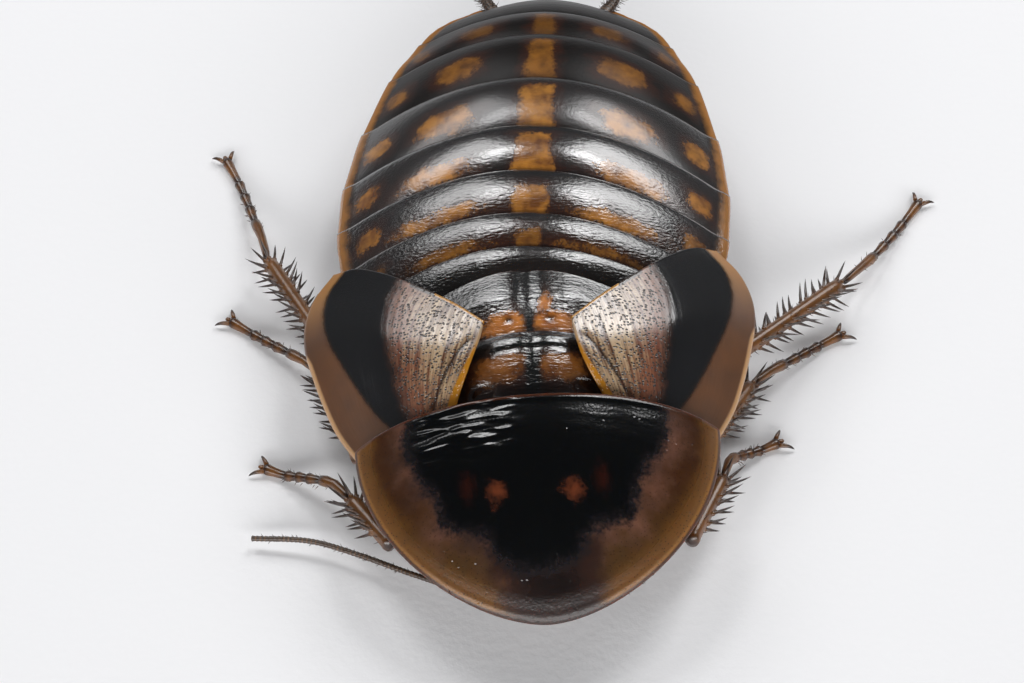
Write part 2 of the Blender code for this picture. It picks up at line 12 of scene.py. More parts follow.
import bmesh
import bpy
import numpy as np
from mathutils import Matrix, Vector


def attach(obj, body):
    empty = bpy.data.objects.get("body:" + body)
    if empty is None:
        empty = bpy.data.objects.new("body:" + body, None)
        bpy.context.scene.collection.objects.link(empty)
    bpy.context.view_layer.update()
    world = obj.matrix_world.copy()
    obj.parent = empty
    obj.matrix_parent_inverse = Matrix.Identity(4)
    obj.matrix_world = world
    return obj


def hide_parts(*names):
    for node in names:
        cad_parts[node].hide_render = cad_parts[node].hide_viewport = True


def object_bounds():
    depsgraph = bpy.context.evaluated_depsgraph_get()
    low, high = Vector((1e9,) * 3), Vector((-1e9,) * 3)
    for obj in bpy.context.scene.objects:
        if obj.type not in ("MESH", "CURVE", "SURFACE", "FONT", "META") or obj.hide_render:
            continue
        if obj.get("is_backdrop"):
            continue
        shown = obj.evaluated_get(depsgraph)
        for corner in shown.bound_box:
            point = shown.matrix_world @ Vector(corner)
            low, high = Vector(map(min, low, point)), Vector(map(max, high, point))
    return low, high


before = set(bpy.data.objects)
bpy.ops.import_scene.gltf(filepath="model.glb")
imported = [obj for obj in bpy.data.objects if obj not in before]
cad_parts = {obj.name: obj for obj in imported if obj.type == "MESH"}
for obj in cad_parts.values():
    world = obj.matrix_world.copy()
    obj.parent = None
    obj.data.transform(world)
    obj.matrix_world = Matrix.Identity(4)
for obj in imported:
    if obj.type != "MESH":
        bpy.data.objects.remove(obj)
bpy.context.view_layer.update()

MM = 0.001
rng = random.Random(23)

# %% [markdown]
# The camera stands where the photograph was taken from: in front of the animal, high above it and
# very close, so the head end looks large. Its place is in the animal's own measures: millimetres
# across, back from the rear edge of the shield, and up from the floor. The middle of the whole
# outline lies at MIDDLE_ACROSS and MIDDLE_BACK, which is where the frame has its origin.

# %% Camera
MIDDLE_ACROSS = 2.05
MIDDLE_BACK = 11.85
CAMERA_SPOT = (-1.24, -58.78, 89.5)
CAMERA_TILT = 52.57
SENSOR_WIDTH = 36.0
FOCAL_PIXELS = 2100.0
IMAGE_WIDTH = 1024.0


def placed(spots):
    """Places in the animal's millimetres, in the frame's metres."""
    return (np.asarray(spots, float) - (MIDDLE_ACROSS, MIDDLE_BACK, 0.0)) * MM


lens = bpy.data.cameras.new("camera")
lens.sensor_width = SENSOR_WIDTH
lens.lens = SENSOR_WIDTH * FOCAL_PIXELS / IMAGE_WIDTH
lens.clip_start = 0.001
lens.clip_end = 10.0
camera = bpy.data.objects.new("camera", lens)
camera.location = placed(CAMERA_SPOT)
camera.rotation_euler = (math.radians(90.0 - CAMERA_TILT), 0.0, 0.0)
bpy.context.scene.collection.objects.link(camera)
bpy.context.scene.camera = camera
print("camera at", [round(value / MM, 1) for value in camera.location], "mm, lens", round(lens.lens, 1))

# %% [markdown]
# Colours are written as the hex values that a colour picker shows, and one function turns them into
# the linear values that the shaders work with. A second small function adds a shader node, sets its
# sockets and joins its links, so each finish below reads as a short recipe.

# %% Helpers for finishes
def colour(text):
    """A hex colour as linear red, green, blue and alpha."""
    parts = [int(text[k:k + 2], 16) / 255.0 for k in (1, 3, 5)]
    return (*[part / 12.92 if part <= 0.04045 else ((part + 0.055) / 1.055) ** 2.4 for part in parts], 1.0)


def add(tree, kind, sockets=None, **settings):
    """Adds a node. Sockets maps an input's name or number to a value or to another node's output."""
    made = tree.nodes.new(kind)
    for key, value in settings.items():
        setattr(made, key, value)
    for key, value in (sockets or {}).items():
        if isinstance(value, bpy.types.NodeSocket):
            tree.links.new(value, made.inputs[key])
        else:
            made.inputs[key].default_value = value
    return made


def new_finish(name):
    """An empty material and its node tree."""
    finish = bpy.data.materials.new(name)
    finish.use_nodes = True
    finish.node_tree.nodes.clear()
    return finish, finish.node_tree


print("orange of the back in linear light", [round(part, 3) for part in colour("#b8742a")[:3]])


# %% Grounds and marks
def clouded(tree, size, dark, pale, detail=4.0):
    """A ground that drifts between two hex colours, in patches of one size in millimetres."""
    place = add(tree, "ShaderNodeTexCoord").outputs["Object"]
    noise = add(tree, "ShaderNodeTexNoise", {"Vector": place, "Scale": 1.0 / (size * MM), "Detail": detail})
    return add(tree, "ShaderNodeMix", {0: noise.outputs["Fac"], 6: colour(dark), 7: colour(pale)},
               data_type="RGBA").outputs[2]


def painted(tree, ground, marks):
    """Lays colours over the ground. A mark is (distance, full, gone, colour): it covers the ground
    where the distance is under full and has faded away at gone."""
    for distance, full, gone, paint in marks:
        cover = add(tree, "ShaderNodeMapRange", {"Value": distance, "From Min": full, "From Max": gone,
                                                 "To Min": 1.0, "To Max": 0.0},
                    interpolation_type="SMOOTHSTEP")
        ground = add(tree, "ShaderNodeMix", {0: cover.outputs["Result"], 6: ground, 7: paint},
                     data_type="RGBA").outputs[2]
    return ground


def mottled(tree, distance, size, reach, detail=3.0):
    """A distance whose outline wanders by up to reach, in patches of one size, all in millimetres."""
    place = add(tree, "ShaderNodeTexCoord").outputs["Object"]
    noise = add(tree, "ShaderNodeTexNoise", {"Vector": place, "Scale": 1.0 / (size * MM), "Detail": detail,
                                             "Roughness": 0.6})
    swing = add(tree, "ShaderNodeMath", {0: noise.outputs["Fac"], 1: 0.5}, operation="SUBTRACT")
    return add(tree, "ShaderNodeMath", {0: swing.outputs[0], 1: 4.0 * reach, 2: distance},
               operation="MULTIPLY_ADD").outputs[0]


def mark(tree, name):
    """A value that a piece carries at each of its points."""
    return add(tree, "ShaderNodeAttribute", attribute_name=name).outputs["Fac"]


# %% Shell
CHITIN_IOR = 1.56
WAX_IOR = 1.7


def cuticle(tree, paint, rough, height=None, relief=0.01, glow=0.0, glow_depth=0.4, coat=0.5, gloss=0.7):
    """Hardened chitin: a clear waxy coat over tanned layers. Glow is how much light enters it and comes
    out again elsewhere, to glow_depth, and relief is the depth of its finest sculpture, in millimetres."""
    sockets = {"Base Color": paint, "Roughness": rough, "IOR": CHITIN_IOR, "Coat Weight": coat,
               "Coat Roughness": 0.12, "Coat IOR": WAX_IOR, "Specular IOR Level": gloss,
               "Subsurface Weight": glow, "Subsurface Scale": glow_depth * MM,
               "Subsurface Radius": (1.0, 0.45, 0.16)}
    if height is not None:
        bump = add(tree, "ShaderNodeBump", {"Height": height, "Distance": relief * MM, "Strength": 1.0})
        sockets["Normal"] = bump.outputs["Normal"]
        sockets["Coat Normal"] = bump.outputs["Normal"]
    shader = add(tree, "ShaderNodeBsdfPrincipled", sockets)
    add(tree, "ShaderNodeOutputMaterial", {"Surface": shader.outputs["BSDF"]})


print("refractive index of chitin", CHITIN_IOR, "and of its wax", WAX_IOR)

# %% [markdown]
# The set is a plain pale sheet under soft studio light. A glossy black shell shows almost nothing but
# what it mirrors, so the lamps are placed by reflection. Two small soft boxes behind the animal, one on
# each side, are what the flat tops of wings and plates mirror as silver, and a strip high above each
# of them carries the silver on over the arched plates. They stay low enough for the shield, which
# tilts toward the viewer, to stay black. A wide dim panel in front only lightens the shadows.

# %% Floor
FLOOR_REACH = 1.2
floor_bm = bmesh.new()
bmesh.ops.create_grid(floor_bm, x_segments=1, y_segments=1, size=FLOOR_REACH)
floor_mesh = bpy.data.meshes.new("floor")
floor_bm.to_mesh(floor_mesh)
floor_bm.free()
floor = bpy.data.objects.new("floor", floor_mesh)
bpy.context.scene.collection.objects.link(floor)
floor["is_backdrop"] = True

# Matt board: even, slightly cool white with the faint grain of its fibres
board, tree = new_finish("matt_white_board")
place = add(tree, "ShaderNodeTexCoord").outputs["Object"]
grain = add(tree, "ShaderNodeTexNoise", {"Vector": place, "Scale": 1.0 / (0.45 * MM), "Detail": 3.0})
bump = add(tree, "ShaderNodeBump", {"Height": grain.outputs["Fac"], "Distance": 0.03 * MM, "Strength": 0.6})
shader = add(tree, "ShaderNodeBsdfPrincipled", {"Base Color": colour("#f1f1f3"), "Roughness": 0.75,
                                                "Normal": bump.outputs["Normal"]})
add(tree, "ShaderNodeOutputMaterial", {"Surface": shader.outputs["BSDF"]})
floor_mesh.materials.append(board)
print("floor of", 2 * FLOOR_REACH, "m")

# %% Lamps and room
# Each lamp: bearing in degrees to the right of straight behind the animal, height in degrees,
# distance, width and height in metres, power in watts
LAMPS = {
    "soft_box_right": (37.0, 38.0, 0.42, 0.22, 0.15, 0.52),
    "soft_box_left": (-37.0, 38.0, 0.42, 0.22, 0.15, 0.36),
    "high_strip_right": (30.0, 56.0, 0.42, 0.11, 0.085, 0.34),
    "high_strip_left": (-30.0, 56.0, 0.42, 0.11, 0.085, 0.3),
    "front_fill": (180.0, 24.0, 0.50, 1.10, 0.17, 3.9),
}
TARGET = Vector((0.0, -0.004, 0.006))
for name, (bearing, height, distance, width, tall, power) in LAMPS.items():
    lamp = bpy.data.lights.new(name, "AREA")
    lamp.shape = "RECTANGLE"
    lamp.size = width
    lamp.size_y = tall
    lamp.energy = power
    turn, lift = math.radians(bearing), math.radians(height)
    toward = Vector((math.sin(turn) * math.cos(lift), math.cos(turn) * math.cos(lift), math.sin(lift)))
    stand = bpy.data.objects.new(name, lamp)
    stand.location = TARGET + toward * distance
    stand.rotation_euler = (-toward).to_track_quat("-Z", "Y").to_euler()
    bpy.context.scene.collection.objects.link(stand)

# The room: pale round the horizon, dark overhead
room = bpy.data.worlds.new("room")
room.use_nodes = True
tree = room.node_tree
way = add(tree, "ShaderNodeTexCoord").outputs["Generated"]
rise = add(tree, "ShaderNodeSeparateXYZ", {"Vector": way}).outputs["Z"]
walls = add(tree, "ShaderNodeMapRange", {"Value": rise, "From Min": 0.35, "From Max": 0.75, "To Min": 0.12,
                                         "To Max": 0.035}, interpolation_type="SMOOTHSTEP")
tree.links.new(walls.outputs["Result"], tree.nodes["Background"].inputs["Strength"])
tree.nodes["Background"].inputs["Color"].default_value = colour("#e3e6ea")
bpy.context.scene.world = room
bpy.context.scene.view_settings.view_transform = "Standard"
print("lamps", len(LAMPS))

# %% [markdown]
# A living animal is never straight. Every plate is described on a straight, level body, and one
# function then swings it to where the resting animal has it: the front turned a little one way, the
# rear the other, and the whole leaning slightly. The plates and the solids share that function and
# the sizes, so a finished plate lands exactly on the solid that it stands for.

# %% The pose of the body
YAW_FRONT = -2.8
YAW_REAR = 3.2
BEND_FROM = 6.0
BEND_TO = 11.0
LEAN = 2.2
LEAN_HEIGHT = 4.5


def ease(value, low, high):
    """A smooth rise from 0 at low to 1 at high."""
    t = np.clip((np.asarray(value, float) - low) / (high - low), 0.0, 1.0)
    return t * t * (3.0 - 2.0 * t)


def turned(across, back, up, bend=True):
    """Places on the straight, level body, moved to where the bent and leaning body has them."""
    across, back, up = np.broadcast_arrays(*[np.asarray(value, float) for value in (across, back, up)])
    slope_front = math.tan(math.radians(YAW_FRONT))
    slope_rear = math.tan(math.radians(YAW_REAR))
    middle = slope_front * back
    slope = np.full(back.shape, slope_front)
    if bend:
        t = np.clip((back - BEND_FROM) / (BEND_TO - BEND_FROM), 0.0, 1.0)
        swung = (BEND_TO - BEND_FROM) * (t ** 3 - 0.5 * t ** 4) + np.maximum(back - BEND_TO, 0.0)
        middle = middle + (slope_rear - slope_front) * swung
        slope = slope + (slope_rear - slope_front) * ease(back, BEND_FROM, BEND_TO)
    length = np.hypot(1.0, slope)
    lean = math.sin(math.radians(LEAN))
    level = across - (up - LEAN_HEIGHT) * lean
    return np.stack([middle + level / length, back - level * slope / length, up + across * lean], -1)


print("tail end beside the shield's middle line in mm", round(float(turned(0.0, 31.6, 4.0)[0]), 2))


# %% Curves and patches
def curve(points, t):
    """The points at t, from 0 to 1, on the smooth curve through a few points."""
    points, t = np.asarray(points, float), np.asarray(t, float)
    steps = np.linalg.norm(np.diff(points, axis=0), axis=1)
    at = np.concatenate([[0.0], np.cumsum(steps)]) / steps.sum()
    k = np.clip(np.searchsorted(at, t, side="right") - 1, 0, len(points) - 2)
    slopes = np.diff(points, axis=0) / np.diff(at)[:, None]
    tangents = np.vstack([slopes[:1], 0.5 * (slopes[:-1] + slopes[1:]), slopes[-1:]])
    span = (at[k + 1] - at[k])[..., None]
    f = (t - at[k])[..., None] / span
    return (points[k] * (2 * f ** 3 - 3 * f ** 2 + 1) + tangents[k] * span * (f ** 3 - 2 * f ** 2 + f)
            + points[k + 1] * (3 * f ** 2 - 2 * f ** 3) + tangents[k + 1] * span * (f ** 3 - f ** 2))


def patch(near, far, first, last, u, v):
    """Points of the smooth patch between four border curves: near and far in u, first and last in v."""
    a, b = u[:, None], v[:, None]
    zero, one = np.zeros(1), np.ones(1)
    corners = ((1 - a) * (1 - b) * near(zero) + a * (1 - b) * near(one)
               + (1 - a) * b * far(zero) + a * b * far(one))
    return (1 - b) * near(u) + b * far(u) + (1 - a) * first(v) + a * last(v) - corners


print("halfway on a curve round a corner", curve(((0, 0), (1, 0), (1, 1)), 0.5).round(2))

# %% [markdown]
# Two kinds of shape make the whole animal. A plate is a flat grid, pulled down into a slab, whose
# side wall is cut a few times so that it can be rounded, and then bent by a surface function. A tube
# is a grid rolled round a line and drawn to a point at both ends, which leaves no open pole. Both come
# from one bmesh grid, because a grid keeps its two directions, and the marks are painted by them.

# %% Plates
RIM_CUTS = 3


def plate_grid(columns, rows):
    """A slab's mesh with, for each point, u and v from 0 to 1 and side from 0 on top to 1 below."""
    bm = bmesh.new()
    bmesh.ops.create_grid(bm, x_segments=columns, y_segments=rows, size=0.5)
    under = bmesh.ops.extrude_face_region(bm, geom=bm.faces[:])["geom"]
    bmesh.ops.translate(bm, vec=(0.0, 0.0, -1.0),
                        verts=[item for item in under if isinstance(item, bmesh.types.BMVert)])
    walls = [edge for edge in bm.edges if abs(edge.verts[0].co.z - edge.verts[1].co.z) > 0.5]
    bmesh.ops.subdivide_edges(bm, edges=walls, cuts=RIM_CUTS)
    flat = np.array([vert.co for vert in bm.verts])
    return bm, flat[:, 0] + 0.5, flat[:, 1] + 0.5, -flat[:, 2]


def rounded(surface, u, v, side, bulge):
    """The surface's points, with the side wall swelling out into a round rim."""
    spots = surface(u, v, side)
    step = 0.02
    du = np.where(u < 1e-4, step, np.where(u > 1 - 1e-4, -step, 0.0))
    dv = np.where(v < 1e-4, step, np.where(v > 1 - 1e-4, -step, 0.0))
    out = spots - surface(u + du, v + dv, side)
    out /= np.maximum(np.linalg.norm(out, axis=1), 1e-9)[:, None]
    return spots + out * (bulge * np.sin(math.pi * np.clip(side, 0.0, 1.0)))[:, None]


def set_points(bm, spots, marks):
    """Moves a mesh's points to their places and writes the marks that its finish reads. A mark is a
    row of values, one for each point, or one number for them all."""
    layers = {name: bm.verts.layers.float.new(name) for name in marks}
    for vert, spot in zip(bm.verts, placed(spots)):
        vert.co = spot
    for name, layer in layers.items():
        for vert, value in zip(bm.verts, np.broadcast_to(marks[name], len(spots))):
            vert[layer] = float(value)


# %% Tubes
def rolled_grid(bm, around, last):
    """A grid rolled up for a tube: its points, the ring that each is in, from 0 to last, and its angle."""
    verts = bmesh.ops.create_grid(bm, x_segments=around, y_segments=last, size=0.5)["verts"]
    flat = np.array([vert.co for vert in verts])
    ring = np.rint((flat[:, 1] + 0.5) * last).astype(int)
    return verts, ring, 2.0 * math.pi * np.mod(np.rint((flat[:, 0] + 0.5) * around), around) / around


def add_tube(bm, centres, wide, high, around=12, up=(0.0, 0.0, 1.0), marks=None):
    """A closed tube along a row of centres. Wide and high are its half sizes there, 0 at its ends.
    Marks are values along it, for layers that the mesh already has."""
    centres = np.asarray(centres, float)
    wide, high = np.asarray(wide, float), np.asarray(high, float)
    last = len(centres) - 1
    verts, k, angle = rolled_grid(bm, around, last)
    ahead = np.gradient(centres, axis=0)
    sideways = np.cross(ahead, np.asarray(up, float))
    sideways /= np.linalg.norm(sideways, axis=1)[:, None]
    rise = np.cross(sideways, ahead)
    rise /= np.linalg.norm(rise, axis=1)[:, None]
    spots = (centres[k] + sideways[k] * (wide[k] * np.cos(angle))[:, None]
             + rise[k] * (high[k] * np.sin(angle))[:, None])
    spots[:, 2] = np.maximum(spots[:, 2], 0.0)
    for vert, spot in zip(verts, placed(spots)):
        vert.co = spot
    for name, values in (marks or {}).items():
        layer = bm.verts.layers.float[name]
        values = np.broadcast_to(np.asarray(values, float), (last + 1,))
        for vert, j in zip(verts, k):
            vert[layer] = float(values[j])
    bmesh.ops.remove_doubles(bm, verts=verts, dist=1e-7)


# %% Pieces
triangle_count = {}


def delivered(name, bm, finish, slot, *stands_for):
    """A finished piece: faces outward, shaded smooth, riding on the frame in place of its solids."""
    bmesh.ops.recalc_face_normals(bm, faces=bm.faces[:])
    if bm.calc_volume(signed=True) < 0.0:
        bmesh.ops.reverse_faces(bm, faces=bm.faces[:])
    mesh = bpy.data.meshes.new(name)
    bm.to_mesh(mesh)
    bm.free()
    mesh.shade_smooth()
    mesh.materials.append(finish)
    piece = bpy.data.objects.new(name, mesh)
    bpy.context.scene.collection.objects.link(piece)
    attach(piece, "root")
    if stands_for:
        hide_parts(*stands_for)
    triangle_count[name] = sum(len(face.vertices) - 2 for face in mesh.polygons)


# %% Distances for the marks
def outline_distance(outline, across, back):
    """Each point's distance in millimetres to a closed outline, below zero inside it."""
    outline = np.asarray(outline, float)
    best = np.full(len(across), 1e9)
    inside = np.zeros(len(across), bool)
    for a, b in zip(outline, np.roll(outline, -1, axis=0)):
        run = b - a
        t = np.clip(((across - a[0]) * run[0] + (back - a[1]) * run[1]) / (run @ run), 0.0, 1.0)
        best = np.minimum(best, np.hypot(across - a[0] - t * run[0], back - a[1] - t * run[1]))
        if a[1] != b[1]:
            crosses = ((a[1] > back) != (b[1] > back))
            inside ^= crosses & (across < a[0] + (back - a[1]) * run[0] / run[1])
    return np.where(inside, -best, best)


def blot_distance(across, back, blots, power=2.0):
    """The distance to the nearest of some blots: (across, back, half width, half length)."""
    best = np.full(len(across), 1e9)
    for x, y, half_x, half_y in blots:
        far = (np.abs((across - x) / half_x) ** power + np.abs((back - y) / half_y) ** power) ** (1 / power)
        best = np.minimum(best, (far - 1.0) * min(half_x, half_y))
    return best


centre = outline_distance(((0, 0), (2, 0), (2, 2), (0, 2)), np.ones(1), np.ones(1))[0]
print("the middle of a square of side 2 lies at", centre, "from its outline")

# %% [markdown]
# The shield, or pronotum, is one thick plate like the brim of a hat. Its middle is black and almost
# mirror smooth; its wide rim is amber, so thin that light from the white ground shines through, and it
# ends in a fine bead. It could be a lathe shape, but it isn't round, so it is a plate between four
# border curves. The black patch is a smooth outline, and each point carries its distance to it: the
# finish can then give it a hazy edge of any width, without a picture.

# %% Shield shape
SHIELD_HALF_WIDTH = 8.85
SHIELD_LENGTH = 9.8
SHIELD_TOP = 8.6
SHIELD_TILT = 0.1
SHIELD_NOD = 0.038
SHIELD_ARCH = 0.0345
SHIELD_DROOP = 0.00007
SHIELD_EDGE = 0.15
SHIELD_THICK = 0.8
SHIELD_WIDEST = 0.5
SHIELD_CORNER = 8.75
SHIELD_NOSE = 5.0
SHIELD_SWEEP = 0.45
SHIELD_FLAT = 1.9
SHIELD_ROUND = 0.56
BEAD_IN = 0.2
BEAD_WIDTH = 0.13
BEAD_RISE = 0.05
# The two brown spots, each on a low knob: across, back, half width, half length
SHIELD_SPOTS = ((-2.1, -4.55, 0.5, 0.62), (1.5, -4.6, 0.55, 0.6))
KNOB_RISE = 0.08


def shield_height(across, back):
    """The top of the shield over a place in its outline."""
    forward = np.abs(back)
    fall = SHIELD_TILT * forward + SHIELD_NOD * forward ** 2
    return SHIELD_TOP - fall - SHIELD_ARCH * across ** 2 - SHIELD_DROOP * across ** 4


def shield_front(across):
    """Where the front rim lies at one distance from the midline."""
    t = np.clip(1.0 - (np.abs(across) / SHIELD_HALF_WIDTH) ** (1 / SHIELD_ROUND), 0, 1) ** (1 / SHIELD_FLAT)
    return -SHIELD_WIDEST - (SHIELD_LENGTH - SHIELD_WIDEST) * t


def shield_rear(t):
    across = (2 * t - 1) * SHIELD_CORNER
    return np.stack([across, -SHIELD_SWEEP * np.abs(across / SHIELD_CORNER) ** 6], -1)


def shield_nose(t):
    across = (2 * t - 1) * SHIELD_NOSE
    return np.stack([across, shield_front(across)], -1)


def shield_side(t, sign):
    nose_back = float(shield_front(SHIELD_NOSE))
    back = -SHIELD_SWEEP + (nose_back + SHIELD_SWEEP) * t
    far = np.clip((-back - SHIELD_WIDEST) / (SHIELD_LENGTH - SHIELD_WIDEST), 0.0, 1.0)
    half = SHIELD_HALF_WIDTH * (1.0 - far ** SHIELD_FLAT) ** SHIELD_ROUND
    half = np.where(t == 0.0, SHIELD_CORNER, half)
    return np.stack([sign * half, back], -1)


def shield_plan(u, v):
    """A place in the shield's outline: u from the right side to the left, v from its rear to its front."""
    return patch(shield_rear, shield_nose, lambda t: shield_side(t, -1), lambda t: shield_side(t, 1), u, v)


STEPS = np.linspace(0.0, 1.0, 60)
SHIELD_OUTLINE = np.vstack([shield_rear(STEPS), shield_side(STEPS, 1)[1:], shield_nose(STEPS[::-1])[1:],
                            shield_side(STEPS[::-1], -1)[1:-1]])


def shield_surface(u, v, side):
    plan = shield_plan(u, v)
    across, back = plan[:, 0], plan[:, 1]
    rim = np.abs(outline_distance(SHIELD_OUTLINE, across, back))
    bead = BEAD_RISE * np.exp(-((rim - BEAD_IN) / BEAD_WIDTH) ** 2) * (1 - side)
    thick = SHIELD_EDGE + (SHIELD_THICK - SHIELD_EDGE) * ease(rim, 0.0, 3.2)
    knobs = [KNOB_RISE * np.exp(-(((across - x) / 0.5) ** 2 + ((back - y) / 0.4) ** 2)) * (1 - side)
             for x, y, _, _ in SHIELD_SPOTS]
    return turned(across, back, shield_height(across, back) - thick * side + bead + sum(knobs))


print("shield", 2 * SHIELD_HALF_WIDTH, "mm wide and", SHIELD_LENGTH, "mm long")

# %% Shield marks and piece
# Corners of the outline of the black, of the dark tail before it, and two faint blushes beside the spots
SHIELD_PATCH = ((-6.15, 0.6), (-6.3, -1.4), (-5.7, -3.3), (-4.9, -4.6), (-4.75, -5.5), (-3.7, -5.95),
                (-2.7, -6.4), (-2.3, -7.1), (-1.3, -7.8), (0.3, -7.9), (1.6, -7.3), (2.2, -6.3),
                (3.3, -5.95), (4.25, -5.6), (4.4, -5.0), (4.95, -3.6), (6.05, -2.0), (6.3, 0.6))
SHIELD_TAIL = ((-2.5, -6.8), (-2.1, -8.4), (-1.4, -10.2), (2.3, -10.2), (2.6, -8.4), (2.4, -6.8))
SHIELD_BLUSHES = ((-3.45, -4.1, 0.3, 0.5), (2.9, -4.1, 0.3, 0.5))
# The middle that the streaks over the edge of the black run out from
SHIELD_MIDDLE = 3.6

bm, u, v, side = plate_grid(150, 110)
plan = shield_plan(u, v)
across, back = plan[:, 0], plan[:, 1]
fine = np.linspace(0.0, 1.0, 500)
front_rim = np.vstack([shield_side(fine, 1), shield_nose(fine[::-1]), shield_side(fine[::-1], -1)])
rim_gap = np.array([np.hypot(*(front_rim - spot).T).min() for spot in np.stack([across, back], 1)])
rear_gap = np.abs(back + SHIELD_SWEEP * np.abs(across / SHIELD_CORNER) ** 6)
set_points(bm, rounded(shield_surface, u, v, side, 0.06), {
    "patch": outline_distance(curve(SHIELD_PATCH, np.linspace(0, 1, 90)), across, back),
    "tail": outline_distance(SHIELD_TAIL, across, back),
    "spot": blot_distance(across, back, SHIELD_SPOTS),
    "blush": blot_distance(across, back, SHIELD_BLUSHES),
    "rim": rim_gap,
    "rear": rear_gap,
    "across": across,
    "back": back,
    "ray": np.degrees(np.arctan2(across, -(back + SHIELD_MIDDLE))),
})
amber_width = rim_gap[outline_distance(SHIELD_PATCH, across, back) > 0].max()
print("amber rim up to", round(float(amber_width), 1), "mm wide")

# %% [markdown]
# The shield's finish is tanned chitin. The black is melanin under a clear wax; where it thins out, the
# pale layer below scatters light and looks like grey-violet haze with the dark pores still showing;
# then comes the amber rim, a stained glass that glows; its gold toward the front and along the edge is
# partly its own colour and partly painted glow. The rear of the shield, mostly on the animal's right,
# is drawn into fine wrinkles that catch the lamps as bright streaks.

# %% Shield colours
shield_chitin, tree = new_finish("black_and_amber_shield_chitin")
place = add(tree, "ShaderNodeTexCoord").outputs["Object"]
# Fine streaks that run outward over the edge of the black
rays = add(tree, "ShaderNodeCombineXYZ", {"X": mark(tree, "ray"), "Y": mark(tree, "patch")})
ray_turn = add(tree, "ShaderNodeMapping", {"Vector": rays.outputs[0], "Scale": (0.5, 0.9, 1.0)})
ray_noise = add(tree, "ShaderNodeTexNoise", {"Vector": ray_turn.outputs[0], "Scale": 1.0, "Detail": 3.0,
                                             "Roughness": 0.6})
ray_swing = add(tree, "ShaderNodeMath", {0: ray_noise.outputs["Fac"], 1: 0.5}, operation="SUBTRACT")
patch_edge = mottled(tree, mottled(tree, mark(tree, "patch"), 0.8, 0.22), 0.2, 0.18, 5.0)
haze_edge = mottled(tree, mark(tree, "patch"), 1.1, 0.6)
ragged_edge = add(tree, "ShaderNodeMath", {0: ray_swing.outputs[0], 1: 0.3, 2: patch_edge},
                  operation="MULTIPLY_ADD").outputs[0]
tail_edge = mottled(tree, mark(tree, "tail"), 1.2, 0.4)
amber = clouded(tree, 1.6, "#2f190a", "#432610", 5.0)
haze_cloud = add(tree, "ShaderNodeTexNoise", {"Vector": place, "Scale": 1.0 / (2.4 * MM), "Detail": 3.0})
hazy = add(tree, "ShaderNodeMapRange", {"Value": haze_cloud.outputs["Fac"], "From Min": 0.42,
                                        "From Max": 0.66})
haze = add(tree, "ShaderNodeMix", {0: hazy.outputs[0], 6: colour("#3a2923"), 7: colour("#6f4c3d")},
           data_type="RGBA").outputs[2]
pores = add(tree, "ShaderNodeTexVoronoi", {"Vector": place, "Scale": 1.0 / (0.15 * MM), "Randomness": 0.9})
pocks = add(tree, "ShaderNodeTexVoronoi", {"Vector": place, "Scale": 1.0 / (0.55 * MM)})
gold_rim_and_painted_glow = mottled(tree, mottled(tree, mark(tree, "rim"), 1.5, 0.25), 0.3, 0.05)
spot_edge = mottled(tree, mottled(tree, mark(tree, "spot"), 0.6, 0.22), 0.2, 0.14, 5.0)
paint = painted(tree, amber, (
    # The lighter gold toward the front, the golden band inside the rim and the golden line near its edge are
    # partly the amber's own colour and partly painted light: the glow of light shining through the thin rim
    (mark(tree, "back"), -7.6, -3.2, colour("#46301a")),
    (gold_rim_and_painted_glow, 0.2, 1.3, colour("#66431b")),
    (mark(tree, "rim"), 0.1, 0.26, colour("#845a24")),
    (mark(tree, "rim"), 0.03, 0.12, colour("#3d2210")),
    (pores.outputs["Distance"], 0.05, 0.3, colour("#29190c")),
    (haze_edge, -0.3, 1.6, haze),
    (pores.outputs["Distance"], 0.05, 0.22, colour("#2a1c17")),
    (tail_edge, -0.5, 0.9, colour("#2c1c17")),
    (tail_edge, -1.7, -0.4, colour("#150d0c")),
    (ragged_edge, -0.1, 0.42, colour("#1f1a1b")),
    (ragged_edge, -0.5, 0.08, colour("#0a0a0c")),
    (patch_edge, -0.7, -0.2, colour("#060708")),
    (mottled(tree, mark(tree, "blush"), 0.3, 0.2), -0.35, 0.3, colour("#260e09")),
    (spot_edge, -0.55, 0.15, colour("#5f2f1b")),
    (mark(tree, "rear"), 0.05, 0.2, colour("#4a2412")),
))
# %% Shield relief
# Wrinkles at the rear of the black
streak_place = add(tree, "ShaderNodeCombineXYZ", {"X": mark(tree, "across"), "Y": mark(tree, "back")})
streak_turn = add(tree, "ShaderNodeMapping", {"Vector": streak_place.outputs[0], "Rotation": (0.0, 0.0, -0.3),
                                              "Scale": (0.4, 1.6, 1.0)})
streaks = add(tree, "ShaderNodeTexNoise", {"Vector": streak_turn.outputs[0], "Scale": 1.2, "Detail": 1.0,
                                           "Roughness": 0.4, "Distortion": 0.15})
right_part = add(tree, "ShaderNodeMapRange", {"Value": mark(tree, "across"), "From Min": -0.4,
                                              "From Max": -2.2, "To Min": 0.07, "To Max": 1.0})
rear_part = add(tree, "ShaderNodeMapRange", {"Value": mark(tree, "back"), "From Min": -3.4, "From Max": -1.6})
on_black = add(tree, "ShaderNodeMapRange", {"Value": mark(tree, "patch"), "From Min": 0.1, "From Max": -0.6})
ridges = add(tree, "ShaderNodeMapRange", {"Value": streaks.outputs["Fac"], "From Min": 0.36, "From Max": 0.7},
             interpolation_type="SMOOTHSTEP")
wrinkles = right_part
for part in (rear_part, on_black, ridges):
    wrinkles = add(tree, "ShaderNodeMath", {0: wrinkles.outputs[0], 1: part.outputs[0]}, operation="MULTIPLY")
